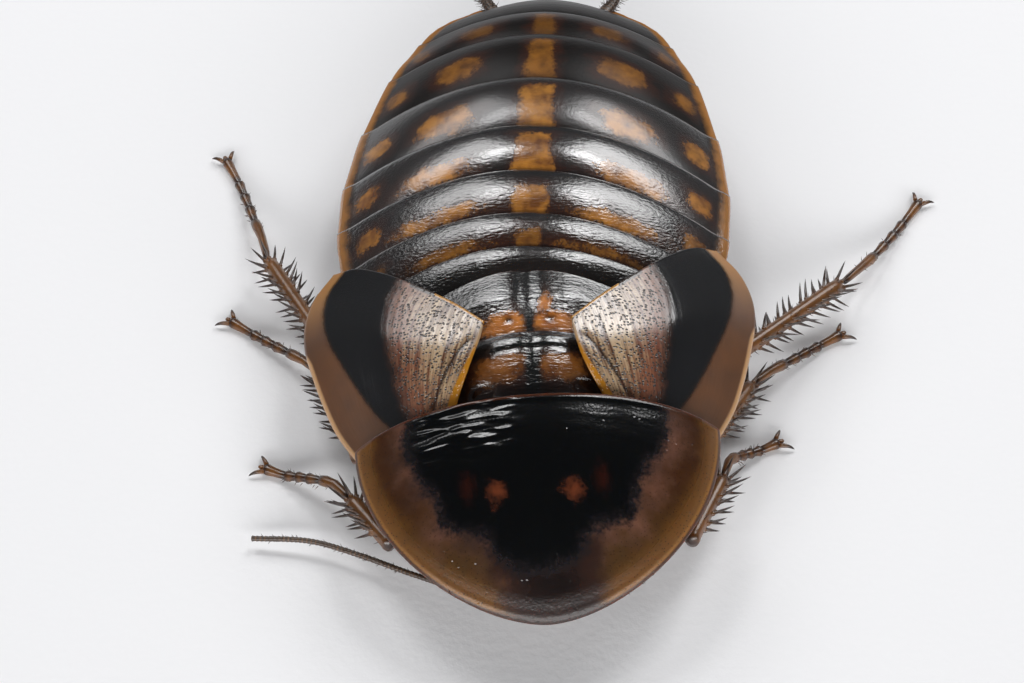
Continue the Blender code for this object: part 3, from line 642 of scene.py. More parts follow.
# The golden edge is finely crimped, and shallow pocks are scattered over the whole shield
edge_part = add(tree, "ShaderNodeMapRange", {"Value": mark(tree, "rim"), "From Min": 1.2, "From Max": 0.5})
crimp = add(tree, "ShaderNodeTexNoise", {"Vector": place, "Scale": 1.0 / (0.16 * MM), "Detail": 3.0})
crimped = add(tree, "ShaderNodeMath", {0: crimp.outputs["Fac"], 1: edge_part.outputs[0]},
              operation="MULTIPLY")
relief = add(tree, "ShaderNodeMath", {0: crimped.outputs[0], 1: 0.15, 2: wrinkles.outputs[0]},
             operation="MULTIPLY_ADD")
pocked = add(tree, "ShaderNodeMapRange", {"Value": pocks.outputs["Distance"], "From Max": 0.14,
                                          "To Max": 0.16})
pits = add(tree, "ShaderNodeMath", {0: pores.outputs["Distance"], 1: 0.04, 2: relief.outputs[0]},
           operation="MULTIPLY_ADD")
sculpture = add(tree, "ShaderNodeMath", {0: pits.outputs[0], 1: pocked.outputs[0]})
rough = add(tree, "ShaderNodeMapRange", {"Value": mark(tree, "rim"), "From Min": 0.15, "From Max": 1.0,
                                         "To Min": 0.5, "To Max": 0.17})
cuticle(tree, paint, rough.outputs[0], sculpture.outputs[0], relief=0.1, glow=0.4, glow_depth=0.6, coat=0.15,
        gloss=0.42)
delivered("pronotum_shell", bm, shield_chitin, "shield_cuticle", "pronotum")
print("shield", triangle_count["pronotum_shell"], "triangles")

# %% [markdown]
# The wing covers, or tegmina, are short stiff flaps that no longer cover anything. Each has three
# zones from the inside out: a disc with rows of fine pits between raised veins, a smooth black band,
# and a brown translucent margin with a pale thickened edge. The veins are modelled as ridges, because
# they break the highlight into its silver stripes; the pits, a seventh of a millimetre apart, are
# relief. The disc's pale tan is partly its own colour and partly painted sheen, laid in beside the
# real gloss. The band and the margin lie a little lower than the disc and slope away from it, which
# takes them out of the lamps' reflection.

# %% Wing cover shape
TEGMEN_THICK = 0.5
TEGMEN_EDGE = 0.2
TEGMEN_CROWN = 0.45
VEIN_RISE = 0.008
VEINS = 27
CREASE_DEPTH = 0.06
BAND_STEP = 0.3
# Border curves on the left side: across, back, up. The inner edge differs from side to side
TEGMEN_BASE = ((4.1, -0.8, 6.62), (6.2, -1.0, 5.85), (8.2, -1.2, 4.35))
TEGMEN_INNER = {
    "right": ((4.1, -0.8, 6.62), (3.9, 0.4, 7.34), (3.1, 2.2, 8.45), (2.5, 3.6, 8.85), (2.3, 4.35, 8.95)),
    "left": ((4.1, -0.8, 6.62), (3.45, 0.4, 7.42), (2.5, 2.2, 8.55), (2.15, 3.6, 8.9), (2.1, 4.3, 8.95)),
}
TEGMEN_REAR = ((3.8, 5.8, 8.75), (5.9, 7.6, 8.2), (7.5, 9.15, 7.45), (8.8, 10.1, 6.8), (9.9, 10.3, 6.2))
TEGMEN_OUTER = ((8.2, -1.2, 4.35), (8.8, -0.3, 4.3), (9.85, 1.5, 4.4), (10.5, 3.1, 4.75), (11.0, 4.65, 5.1),
                (11.4, 6.3, 5.25), (11.4, 7.9, 5.3), (10.95, 9.3, 5.5), (9.9, 10.3, 6.2))


def tegmen_plan(u, v, name):
    """The wing cover's mid surface before it is crowned: u from its inner edge out, v from its base."""
    inner = TEGMEN_INNER[name]
    rear = (inner[-1], *TEGMEN_REAR)
    return patch(lambda t: curve(TEGMEN_BASE, t), lambda t: curve(rear, t),
                 lambda t: curve(inner, t), lambda t: curve(TEGMEN_OUTER, t), u, v)


def disc_edge(v):
    """Where in u the pitted disc ends and the black band begins."""
    return 0.36 + 0.2 * v


def band_edge(v):
    """Where in u the black band ends and the brown margin begins."""
    return 0.4 + 1.05 * v - 0.52 * v ** 2


def fold_line(v):
    """Where in u the disc is creased, near its inner edge."""
    return 0.2 * np.clip(1.0 - v / 0.88, 0.0, 1.0) ** 0.7


def tegmen_surface(u, v, side, name):
    spots = tegmen_plan(np.clip(u, 0, 1), np.clip(v, 0, 1), name)
    crown = TEGMEN_CROWN * np.sin(math.pi * u) * np.sin(math.pi * v)
    inset = np.minimum(np.minimum(u, 1 - u) * 8.0, np.minimum(v, 1 - v) * 10.0)
    thick = TEGMEN_EDGE + (TEGMEN_THICK - TEGMEN_EDGE) * ease(inset, 0.0, 1.5)
    on_disc = 1 - ease(u, disc_edge(v) - 0.02, disc_edge(v) + 0.1)
    veins = np.abs(np.sin(math.pi * VEINS * u * (1.0 - 0.18 * v))) ** 6
    step = BAND_STEP * ease(u, disc_edge(v) - 0.12, band_edge(v) + 0.02) * ease(v, 0.0, 0.4)
    crease = CREASE_DEPTH * np.exp(-((u - fold_line(v)) / 0.02) ** 2) * ease(fold_line(v), 0.02, 0.06)
    relief = (VEIN_RISE * veins * on_disc * ease(inset, 0.0, 0.6) - crease) * (1 - side) - step
    sign = -1 if name == "right" else 1
    return turned(sign * spots[:, 0], spots[:, 1], spots[:, 2] + crown + relief - thick * side, bend=False)


tip_gap = math.dist(TEGMEN_INNER["right"][0], TEGMEN_OUTER[-1])
print("wing cover", round(tip_gap, 1), "mm from its root to its tip, with", VEINS, "veins")

# %% [markdown]
# The wing cover's finish reads, at each point, how far it is in millimetres from the borders of its
# zones and from its edges. The pits lie in rows along the wing, so they are drawn on a pair of
# coordinates that the piece itself carries and that fan out with the veins.

# %% Wing cover finish
# Pits: the gap between their rows where the wing cover is FAN_WIDTH wide, and from pit to pit in a row
PIT_ROW = 0.155
PIT_STEP = 0.135
FAN_WIDTH = 9.2
wing_chitin, tree = new_finish("pitted_wing_cover_chitin")
row_place = add(tree, "ShaderNodeCombineXYZ", {"X": mark(tree, "pit_row"), "Y": mark(tree, "pit_step")})
pits = add(tree, "ShaderNodeTexVoronoi", {"Vector": row_place.outputs[0], "Scale": 1.0, "Randomness": 0.7})
pit_edge = mottled(tree, pits.outputs["Distance"], 0.5, 0.08)
long_place = add(tree, "ShaderNodeMapping", {"Vector": row_place.outputs[0], "Scale": (0.9, 0.045, 1.0)})
line = add(tree, "ShaderNodeTexNoise", {"Vector": long_place.outputs[0], "Scale": 1.0, "Detail": 3.0})
# The disc's pale tan streaks are partly its own tan and partly painted sheen: the silver that it mirrors from
# the soft boxes is also laid into its colour
tan_and_painted_sheen_streaks = add(tree, "ShaderNodeMapRange", {"Value": line.outputs["Fac"], "From Min": 0.36, "From Max": 0.6})
disc = add(tree, "ShaderNodeMix", {0: tan_and_painted_sheen_streaks.outputs["Result"], 6: colour("#4c2a19"), 7: colour("#ac9375")},
           data_type="RGBA").outputs[2]
disc_fade = mottled(tree, mottled(tree, mark(tree, "disc_gap"), 1.0, 0.7), 0.25, 0.25)
disc = painted(tree, disc, ((mark(tree, "base_gap"), 0.7, 2.4, colour("#7f4a28")),
                            (mark(tree, "rear_dark"), 0.0, 1.6, colour("#1b0f0b")),
                            (mark(tree, "fold"), 0.0, 0.16, colour("#24120a")),
                            (pit_edge, 0.3, 0.5, colour("#1a0c06"))))
black_from = mottled(tree, mottled(tree, mark(tree, "disc_gap"), 0.9, 0.14), 0.2, 0.08)
margin_from = mottled(tree, mark(tree, "band_gap"), 0.5, 0.05)
margin = painted(tree, clouded(tree, 1.3, "#40240b", "#663b13"), (
    (mark(tree, "rear_out"), 0.8, 4.2, colour("#9c6a2c")),
    (mark(tree, "costal"), 0.05, 0.2, colour("#b0875c")),
))
# Toward the black band the disc turns rust brown, and its pits run together
outer = add(tree, "ShaderNodeMapRange", {"Value": disc_fade, "From Min": -2.5, "From Max": -0.7,
                                         "To Max": 0.85})
rust = painted(tree, colour("#6d361c"), ((pit_edge, 0.3, 0.55, colour("#0e0705")),))
disc = add(tree, "ShaderNodeMix", {0: outer.outputs["Result"], 6: disc, 7: rust}, data_type="RGBA").outputs[2]
paint = painted(tree, margin, (
    (margin_from, -0.12, 0.3, colour("#101012")),
    (black_from, -0.9, 0.35, disc),
    (mark(tree, "inner"), 0.14, 0.26, colour("#a46c12")),
    (mark(tree, "rear"), 0.1, 0.24, colour("#24130a")),
    (mark(tree, "rear_line"), 0.06, 0.13, colour("#b07a26")),
))
streaky = add(tree, "ShaderNodeMath", {0: line.outputs["Fac"], 1: 0.3, 2: 0.35}, operation="MULTIPLY_ADD")
pit_depth = painted(tree, (0.5, 0.5, 0.5, 1.0), ((pit_edge, 0.12, 0.45, (0.0, 0.0, 0.0, 1.0)),
                                                 (black_from, 0.3, -0.2, streaky.outputs[0])))
outer_rough = add(tree, "ShaderNodeMapRange", {"Value": disc_fade, "From Min": -2.5, "From Max": -0.7,
                                               "To Min": 0.25, "To Max": 0.34})
rough = painted(tree, (0.4, 0.4, 0.4, 1.0), ((margin_from, -0.1, 0.3, (0.17, 0.17, 0.17, 1.0)),
                                             (black_from, -0.4, 0.2, outer_rough.outputs[0])))
cuticle(tree, paint, rough, pit_depth, relief=0.026, glow=0.15, glow_depth=0.4, coat=0.0, gloss=1.0)
print("wing cover finish", len(tree.nodes), "nodes, about", round(FAN_WIDTH / PIT_ROW), "rows of pits")

# %% Wing cover pieces
for name in TEGMEN_INNER:
    bm, u, v, side = plate_grid(140, 110)
    spots = rounded(lambda *grid: tegmen_surface(*grid, name), u, v, side, 0.09)
    low, high = np.zeros(len(u)), np.ones(len(u))
    width = np.linalg.norm(tegmen_plan(high, v, name) - tegmen_plan(low, v, name), axis=1)
    length = np.linalg.norm(tegmen_plan(u, high, name) - tegmen_plan(u, low, name), axis=1)
    inner_strip = u * width - 0.42 * (1 - ease(v, 0.2, 0.95))
    set_points(bm, spots, {
        "disc_gap": (u - disc_edge(v)) * width,
        "band_gap": (u - band_edge(v)) * width,
        "inner": inner_strip + 0.25,
        "fold": np.abs(u - fold_line(v)) * width + 0.3 * (1 - ease(fold_line(v), 0.01, 0.04)),
        "costal": (1 - u) * width + ease(v, 0.55, 0.8),
        "rear": (1 - v) * length + 3.0 * ease(u, 0.45, 0.6),
        "rear_line": (1 - v) * length + 3.0 * ease(u, 0.3, 0.4),
        "rear_out": np.hypot((1 - u) * width, (1 - v) * length),
        "base_gap": v * length,
        "rear_dark": (1 - v) * length + 6.0 * (0.75 - u),
        "pit_row": u * FAN_WIDTH / PIT_ROW,
        "pit_step": v * length / PIT_STEP,
    })
    delivered(f"tegmen_{name}_cover", bm, wing_chitin, "wing_cuticle", f"tegmen_{name}")
print("wing cover", triangle_count["tegmen_left_cover"], "triangles")

# %% [markdown]
# Between the wing covers lie the plates of the thorax that carry them. The front one, the mesonotum,
# ends in a black glossy band, and the rear one, the metanotum, begins with two orange patches, each
# with a dark dimple. Below them and at the sides is softer, brown wall, made here as one closed body
# from rings like the ribs of a boat.

# %% Thorax shapes
# Each row: a place back along the body, and the half width, top, margin and bottom there
THORAX = np.array((
    (-5.15, 1.2, 5.2, 4.4, 3.7),
    (-4.6, 3.0, 6.1, 4.8, 3.9),
    (-3.6, 4.6, 6.55, 4.9, 4.1),
    (-1.6, 5.7, 6.9, 4.9, 4.2),
    (0.2, 5.7, 7.1, 4.8, 4.2),
    (2.2, 6.4, 8.1, 5.1, 4.2),
    (4.0, 6.6, 8.35, 5.2, 4.2),
    (4.15, 6.5, 8.05, 5.15, 4.2),
    (5.6, 7.0, 8.25, 5.3, 4.2),
    (7.5, 7.4, 8.4, 5.4, 4.3),
))
NOTUM_THICK = 0.14
NOTUM_SIDE = 0.86
# Each plate: where it begins and ends, and its half width at three places between
MESONOTUM = ((-1.2, 4.05), (-1.2, 2.2, 4.1), (5.7, 6.3, 6.6))
METANOTUM = ((3.5, 7.95), (3.5, 5.6, 8.0), (6.5, 7.0, 7.5))


def thorax_at(back):
    return [np.interp(back, THORAX[:, 0], THORAX[:, k]) for k in range(1, 5)]


def notum_plan(u, v, plate):
    """A thorax plate's share of its full width, and its places across and back."""
    (front, rear), places, halves = plate
    share = (2 * u - 1) * NOTUM_SIDE
    back = front + (rear - front) * v
    return share, share * np.interp(back, places, halves), back


def mesonotum_surface(u, v, side):
    share, across, back = notum_plan(u, v, MESONOTUM)
    top = np.interp(back, (-1.2, 0.2, 1.2, 2.2, 3.3, 4.1), (6.9, 7.15, 7.75, 8.12, 8.4, 8.38))
    bow = 0.35 * np.abs(share) ** 1.6 * v
    groove = -0.1 * np.exp(-(across / 0.4) ** 2) * ease(back, 0.0, 2.0)
    hollow = -0.35 * np.exp(-(((np.abs(across) - 2.5) / 0.55) ** 2 + ((back - 1.25) / 0.4) ** 2))
    lip = -0.12 * ease(back, 3.6, 4.05) - 0.05 * np.exp(-((back - 3.1) / 0.15) ** 2)
    up = top - (top - 5.1) * np.abs(share) ** 1.9 + (groove + hollow + lip) * (1 - side)
    return turned(across, back - bow, up - NOTUM_THICK * side)


def metanotum_surface(u, v, side):
    share, across, back = notum_plan(u, v, METANOTUM)
    top = np.interp(back, (3.5, 4.3, 5.2, 6.2, 7.0, 8.0), (7.85, 8.05, 8.3, 8.46, 8.4, 8.26))
    bow = 1.1 * np.abs(share) ** 1.6 * ease(back, 3.5, 7.5)
    wedge = -0.12 * np.exp(-(across / 0.55) ** 2) * ease(back, 4.6, 6.0)
    dimple = -0.1 * np.exp(-(((np.abs(across) - 1.05) / 0.15) ** 2 + ((back - 4.95) / 0.13) ** 2))
    swell = 0.08 * np.exp(-(((np.abs(across) - 2.4) / 1.0) ** 2 + ((back - 6.3) / 0.9) ** 2))
    up = top - (top - 5.35) * np.abs(share) ** 1.9 + (wedge + dimple + swell) * (1 - side)
    return turned(across, back - bow, up - NOTUM_THICK * side)


# %% [markdown]
# The finish of the back is one recipe for all its plates: nearly black shell, orange marks where no
# black was laid down, and amber at the side margins. The thorax and the first plates are waxed by the
# wing covers that rub over them and are scored crosswise, so they gleam like silver; toward the tail
# the wax is worn off and the same shell is dull.

# %% Finish of the back
def back_finish(name, black, brown, orange, dark_orange, rough, gloss, coat):
    """Tanned back plate chitin with orange marks, read from the piece's own distances."""
    finish, tree = new_finish(name)
    place = add(tree, "ShaderNodeTexCoord").outputs["Object"]
    grain = add(tree, "ShaderNodeTexNoise", {"Vector": place, "Scale": 1.0 / (0.2 * MM), "Detail": 4.0})
    tint = add(tree, "ShaderNodeTexNoise", {"Vector": place, "Scale": 1.0 / (0.9 * MM), "Detail": 4.0})
    patchy = add(tree, "ShaderNodeMapRange", {"Value": tint.outputs["Fac"], "From Min": 0.38,
                                              "From Max": 0.68}).outputs["Result"]
    bright = add(tree, "ShaderNodeMix", {0: patchy, 6: colour(orange), 7: colour(dark_orange)},
                 data_type="RGBA").outputs[2]
    bright = add(tree, "ShaderNodeMix", {0: mark(tree, "dull"), 6: bright, 7: colour("#35210f")},
                 data_type="RGBA").outputs[2]
    orange_edge = mottled(tree, mottled(tree, mark(tree, "orange"), 0.8, 0.2), 0.17, 0.14, 5.0)
    brown_edge = mottled(tree, mark(tree, "orange"), 0.9, 0.35)
    paint = painted(tree, clouded(tree, 0.9, black, brown), (
        (brown_edge, 0.0, 0.75, colour("#2c140b")),
        (orange_edge, -0.25, 0.16, bright),
        (mottled(tree, mark(tree, "black"), 0.5, 0.12), -0.15, 0.25, colour("#09090a")),
        (mottled(tree, mark(tree, "margin"), 0.8, 0.15), -0.35, 0.25, colour("#9a6730")),
        (mark(tree, "edge"), 0.03, 0.1, colour("#2c170d")),
    ))
    lines = add(tree, "ShaderNodeMapping", {"Vector": place, "Scale": (0.3, 1.0, 1.0)})
    scored = add(tree, "ShaderNodeTexNoise", {"Vector": lines.outputs[0], "Scale": 1.0 / (0.13 * MM),
                                              "Detail": 3.0})
    fine = add(tree, "ShaderNodeMath", {0: grain.outputs["Fac"], 1: 0.25}, operation="MULTIPLY").outputs[0]
    height = add(tree, "ShaderNodeMath", {0: scored.outputs["Fac"], 1: mark(tree, "score"), 2: fine},
                 operation="MULTIPLY_ADD").outputs[0]
    cuticle(tree, paint, rough, height, relief=0.03, glow=0.1, glow_depth=0.35, coat=coat, gloss=gloss)
    return finish


thorax_chitin = back_finish("thorax_plate_chitin", "#0c0b0c", "#1c1210", "#b8722f", "#7c4318", 0.22, 1.0, 0.7)
back_chitin = back_finish("back_plate_chitin", "#0b0b0d", "#1d1310", "#ac7228", "#643a14", 0.22, 1.0, 0.55)
rear_chitin = back_finish("rear_plate_chitin", "#0b0b0c", "#1a110f", "#a87026", "#603813", 0.27, 0.7, 0.15)
tail_chitin = back_finish("tail_plate_chitin", "#090909", "#150e0c", "#94601f", "#5f3a14", 0.36, 0.12, 0.0)
print("materials so far", len(bpy.data.materials))

# %% Thorax pieces
# A distance that no mark reaches
FAR = 5.0
MESONOTUM_ORANGE = ((-1.6, 2.2, 1.3, 0.7), (1.4, 2.1, 1.05, 0.7))
METANOTUM_ORANGE = ((-1.2, 4.7, 1.15, 0.65), (1.15, 4.7, 1.1, 0.65), (0.7, 5.7, 0.4, 0.6))

bm, u, v, side = plate_grid(110, 60)
spots = rounded(mesonotum_surface, u, v, side, 0.05)
_, across, back = notum_plan(u, v, MESONOTUM)
set_points(bm, spots, {
    "orange": blot_distance(across, back, MESONOTUM_ORANGE, 3.0),
    "black": np.minimum(np.abs(across) - 0.32, 3.05 - back),
    "margin": FAR,
    "edge": MESONOTUM[0][1] - back,
    "dull": 0.62,
    "score": 1.2,
})
delivered("mesonotum_plate", bm, thorax_chitin, "body_cuticle", "thorax")

bm, u, v, side = plate_grid(120, 60)
spots = rounded(metanotum_surface, u, v, side, 0.05)
_, across, back = notum_plan(u, v, METANOTUM)
set_points(bm, spots, {
    "orange": blot_distance(across, back, METANOTUM_ORANGE, 2.5),
    "black": np.minimum(np.abs(across) - 0.2 - 0.45 * ease(back, 5.2, 6.4),
                        blot_distance(across, back, ((-1.05, 4.95, 0.11, 0.1), (1.05, 4.95, 0.12, 0.11)))),
    "margin": FAR,
    "edge": METANOTUM[0][1] - back,
    "dull": 0.0,
    "score": 0.9,
})
delivered("metanotum_plate", bm, thorax_chitin, "body_cuticle", "thorax")
print("thorax plates", [triangle_count[name] for name in ("mesonotum_plate", "metanotum_plate")], "triangles")

# %% [markdown]
# The abdomen is a row of back plates that overlap like roof tiles, so that it can stretch when the
# animal carries its young. Each plate is arched along the body as well as across: its front rises out
# from under the plate before it and its rear dips again. That is why each one shows a single silver
# band, an orange strip in front of it and a dark strip behind.

# %% Abdomen shape
# Rows as for the thorax
ABDOMEN = np.array((
    (7.0, 7.5, 8.1, 5.1, 4.5),
    (7.9, 7.9, 8.2, 5.0, 4.4),
    (9.3, 8.9, 8.35, 4.7, 3.9),
    (10.6, 9.6, 8.45, 4.6, 2.6),
    (13.9, 10.3, 8.5, 4.5, 1.7),
    (17.4, 10.4, 8.4, 4.4, 1.5),
    (20.9, 9.95, 8.0, 4.3, 1.5),
    (24.5, 9.05, 7.3, 4.2, 1.7),
    (26.8, 8.3, 6.7, 4.1, 2.0),
    (28.2, 7.4, 6.2, 4.0, 2.2),
    (29.6, 6.8, 5.5, 3.9, 2.5),
    (30.6, 5.8, 4.9, 3.8, 2.8),
    (31.2, 4.6, 4.5, 3.7, 3.0),
    (31.6, 2.9, 4.1, 3.6, 3.2),
))
ABDOMEN_HALF_WIDTH = 10.3
# Where the plates' rear edges lie on the midline, after the place where the first plate begins
PLATE_EDGES = (7.9, 9.35, 11.45, 14.35, 17.6, 21.6, 25.7, 28.6, 31.45)
# How far each plate arches up, and how far its rear edge stands above the next plate
PLATE_FORMS = ((0.16, 0.14), (0.23, 0.17), (0.27, 0.18), (0.33, 0.18), (0.36, 0.25), (0.36, 0.3), (0.24, 0.2),
               (0.1, 0.12))
PLATE_BOW = 1.5
PLATE_LAP = 0.8
PLATE_THICK = 0.16


def abdomen_at(back):
    """Half width, top, margin and bottom of the smooth abdomen, with its corners eased."""
    reach = (-0.5, 0.0, 0.5)
    return [np.mean([np.interp(back + step, ABDOMEN[:, 0], ABDOMEN[:, k]) for step in reach], 0)
            if k < 3 else np.interp(back, ABDOMEN[:, 0], ABDOMEN[:, k]) for k in range(1, 5)]


def plate_surface(u, v, side, front, rear, arch, step):
    """A back plate: u from the right margin to the left, v from its hidden front to its rear edge."""
    share = 2 * u - 1
    back = front - PLATE_LAP + (rear - front + PLATE_LAP) * v
    f = (back - front) / (rear - front)
    half, top, margin, bottom = abdomen_at(back)
    lift = arch * (1 - 0.6 * share ** 2) * (1 - (2 * f - 1) ** 2) + step * f - 0.05 * ease(f, 0.93, 1.0)
    flange = 0.1 * ease(np.abs(share), 0.93, 1.0)
    up = top + lift - (top + lift - margin - 0.2) * np.abs(share) ** 2.1 + flange
    bow = PLATE_BOW * half / ABDOMEN_HALF_WIDTH
    corner = 0.12 * ease(np.abs(share), 0.9, 1.0) * ease(f, 0.6, 1.0)
    return turned(share * (half + 0.04 * f), back - bow * np.abs(share) ** 1.6 + corner,
                  up - PLATE_THICK * side)


# %% Abdomen plates
# Marks of each plate: half width of the middle spot and the share of the plate's length where it ends;
# share of the width, share of the length, half width and half depth of the strip beside it; half size of
# the spot near the margin; how dull the orange is, and how deeply the plate is scored
PLATE_MARKS = (
    (0.0, 0.0, 0.5, 0.3, 0.0, 0.0, 0.0, 0.0, 1.0),
    (0.55, 0.42, 0.45, 0.16, 1.9, 0.28, 0.4, 0.5, 1.0),
    (0.85, 0.56, 0.46, 0.18, 2.1, 0.42, 0.6, 0.12, 0.7),
    (0.95, 0.74, 0.5, 0.22, 1.75, 0.6, 0.65, 0.0, 0.4),
    (0.9, 0.75, 0.48, 0.32, 1.45, 0.9, 0.7, 0.05, 0.2),
    (0.72, 0.8, 0.48, 0.4, 1.25, 0.9, 0.65, 0.25, 0.2),
    (0.6, 0.8, 0.45, 0.45, 0.9, 0.6, 0.5, 0.6, 0.2),
    (0.0, 0.0, 0.5, 0.5, 0.0, 0.0, 0.0, 1.0, 0.2),
)
SPOT_SHARE = 0.85

for k, (front, rear) in enumerate(zip(PLATE_EDGES, PLATE_EDGES[1:])):
    bm, u, v, side = plate_grid(130, 30)
    spots = rounded(lambda *grid: plate_surface(*grid, front, rear, *PLATE_FORMS[k]), u, v, side, 0.05)
    share, length = 2 * u - 1, rear - front
    back = front - PLATE_LAP + (length + PLATE_LAP) * v
    f = (back - front) / length
    half = abdomen_at(back)[0]
    across = share * half
    (middle_wide, middle_end, strip_share, strip_at, strip_wide, strip_deep, spot_size, dull,
     score) = PLATE_MARKS[k]
    orange = FAR
    if middle_wide:
        middle = np.maximum(np.abs(across - 0.05) - middle_wide * (1.15 - 0.3 * f), (f - middle_end) * length)
        blots = []
        for sign in (-1, 1):
            strip_place = sign * strip_share * half.mean()
            blots.append((strip_place, strip_at * length, strip_wide, strip_deep))
            blots.append((sign * SPOT_SHARE * half.mean(), 0.42 * length, spot_size, spot_size))
        orange = np.minimum(middle, blot_distance(across, back - front, blots, 2.6))
    set_points(bm, spots, {
        "orange": orange,
        "black": (0.86 - f) * length + 0.3 * np.abs(share),
        "margin": (1 - np.abs(share)) * half - 0.5,
        "edge": rear - back,
        "dull": dull,
        "score": score,
    })
    finish = back_chitin if k < 4 else rear_chitin if k == 4 else tail_chitin
    delivered(f"abdomen_plate_{k + 1}", bm, finish, "body_cuticle", "abdomen")
print("abdomen plates", len(PLATE_EDGES) - 1)

# %% [markdown]
# The underside is never seen in the photograph, but a model is turned over. Its plates, the sternites,
# overlap like those above, flatter and browner. The belly and the thorax wall are closed bodies: rings
# of the right width and height at each place, set on a tube's grid.

# %% Belly and thorax wall
BELLY_STEP = 0.14
BELLY_SUNK = 0.3
WALL_SUNK = 0.25
AROUND_BODY = 72


def trunk_tube(stations, table_at, sunk, curl, bow_of, step_of):
    """A closed body whose outline at each station comes from its half width, top, margin and bottom."""
    bm = bmesh.new()
    last = len(stations) - 1
    _, k, angle = rolled_grid(bm, AROUND_BODY, last)
    back = np.asarray(stations)[k]
    half, top, margin, bottom = table_at(back)
    closed = np.where((k == 0) | (k == last), 0.0, 1.0)
    half = (half - sunk) * closed
    share = np.abs(np.sin(angle))
    above = top - sunk - (top - sunk - margin) * share ** curl
    lift, seam = step_of(back)
    below = bottom - lift + (margin - bottom + lift) * share ** 3
    middle = 0.5 * (top + bottom)
    up = np.where(np.cos(angle) >= -1e-9, above, below)
    up = middle + (up - middle) * closed
    spots = turned(half * np.sin(angle), back - bow_of(back, half) * share ** 1.6 * closed, up)
    set_points(bm, spots, {"seam": seam})
    bmesh.ops.remove_doubles(bm, verts=bm.verts[:], dist=1e-7)
    return bm


def belly_steps(back):
    """How far each sternite bulges below the smooth belly, and the distance to its rear edge."""
    edges = np.array(PLATE_EDGES[:-1])
    k = np.clip(np.searchsorted(edges, back, side="right") - 1, 0, len(edges) - 2)
    f = np.clip((back - edges[k]) / (edges[k + 1] - edges[k]), 0.0, 1.0)
    return BELLY_STEP * f * (1 - 0.5 * ease(f, 0.92, 1.0)), (1 - f) * (edges[k + 1] - edges[k])


belly_chitin, tree = new_finish("brown_belly_chitin")
place = add(tree, "ShaderNodeTexCoord").outputs["Object"]
grain = add(tree, "ShaderNodeTexNoise", {"Vector": place, "Scale": 1.0 / (0.2 * MM), "Detail": 3.0})
paint = painted(tree, clouded(tree, 1.4, "#3a2013", "#6b4222"), (
    (mottled(tree, mark(tree, "seam"), 0.6, 0.12), 0.1, 0.7, colour("#1d110c")),
))
cuticle(tree, paint, 0.33, grain.outputs["Fac"], relief=0.02, glow=0.1, coat=0.25)

stations = np.concatenate([[7.2], np.arange(7.2, 31.2, 0.2), [31.3, 31.4, 31.4]])
bm = trunk_tube(stations, abdomen_at, BELLY_SUNK, 2.1, lambda back, half: 1.4 * half / ABDOMEN_HALF_WIDTH,
                belly_steps)
delivered("belly", bm, belly_chitin, "body_cuticle", "abdomen")

stations = np.concatenate([[-5.1], np.arange(-5.1, 7.6, 0.25), [7.6]])
bm = trunk_tube(stations, thorax_at, WALL_SUNK, 1.9, lambda back, half: 1.1 * ease(back, 0.0, 7.0),
                lambda back: (np.zeros(len(back)), np.abs(np.mod(back + 5.6, 3.9) - 1.95)))
delivered("thorax_wall", bm, belly_chitin, "body_cuticle", "thorax")
print("belly", triangle_count["belly"], "triangles")

# %% [markdown]
# A roach's legs are made for running through litter: broad flat hips under the thorax, a strong
# thigh, a shin armed with rows of movable thorns, and a foot of five joints with two claws. The thorns
# are curved cones, each on a small ring, in four rows with seeded differences. Every one of them is a
# small tube of a few dozen faces, sunk into the shin.

# %% Leg measures
# Each leg as it stands: its knee, its ankle, and the path of its foot to the claws
LEGS = {
    "right_fore": ((-7.2, -4.8, 2.9), (-9.25, -1.75, 2.1),
                   ((-10.0, -0.7, 1.8), (-11.7, 0.3, 0.95), (-12.9, 0.9, 0.32), (-13.9, 1.35, 0.24))),
    "right_mid": ((-8.9, 0.2, 2.9), (-11.1, 6.2, 1.6),
                  ((-11.9, 7.2, 1.4), (-13.5, 8.6, 0.8), (-15.2, 10.0, 0.32), (-16.4, 10.9, 0.24))),
    "right_hind": ((-9.9, 5.2, 3.7), (-14.5, 14.0, 1.7),
                   ((-14.8, 15.3, 1.4), (-15.6, 17.7, 0.75), (-16.7, 20.7, 0.32), (-17.6, 22.6, 0.24))),
    "left_fore": ((7.5, -4.5, 2.8), (9.35, -0.3, 1.9),
                  ((9.75, 0.9, 1.6), (10.6, 1.8, 0.8), (11.5, 2.4, 0.32), (12.5, 2.95, 0.24))),
    "left_mid": ((8.6, 0.9, 3.2), (11.2, 5.6, 1.7),
                 ((12.1, 6.6, 1.4), (13.6, 7.9, 0.8), (15.2, 9.2, 0.32), (16.4, 10.0, 0.24))),
    "left_hind": ((9.9, 5.7, 3.7), (16.5, 12.3, 1.8),
                  ((17.3, 13.3, 1.45), (18.7, 15.1, 0.8), (20.4, 17.5, 0.32), (21.7, 19.4, 0.24))),
}
# On the straight body's left side: where the coxa begins and ends, and where the thigh begins
HIPS = {"fore": (3.5, -4.6, 3.2), "mid": (4.1, -0.6, 3.25), "hind": (4.6, 4.3, 3.2)}
COXA_ENDS = {"fore": (1.6, -2.0, 2.7), "mid": (1.8, 2.5, 2.7), "hind": (2.0, 7.2, 2.7)}
TROCHANTERS = {"fore": (1.35, -0.3, 1.9), "mid": (1.5, 3.85, 1.95), "hind": (1.7, 8.5, 2.05)}
FEMUR_DEPTH = {"fore": 0.8, "mid": 0.9, "hind": 1.0}
THORNS_PER_ROW = {"fore": 5, "mid": 8, "hind": 11}
KNEE_ROOM = 0.3
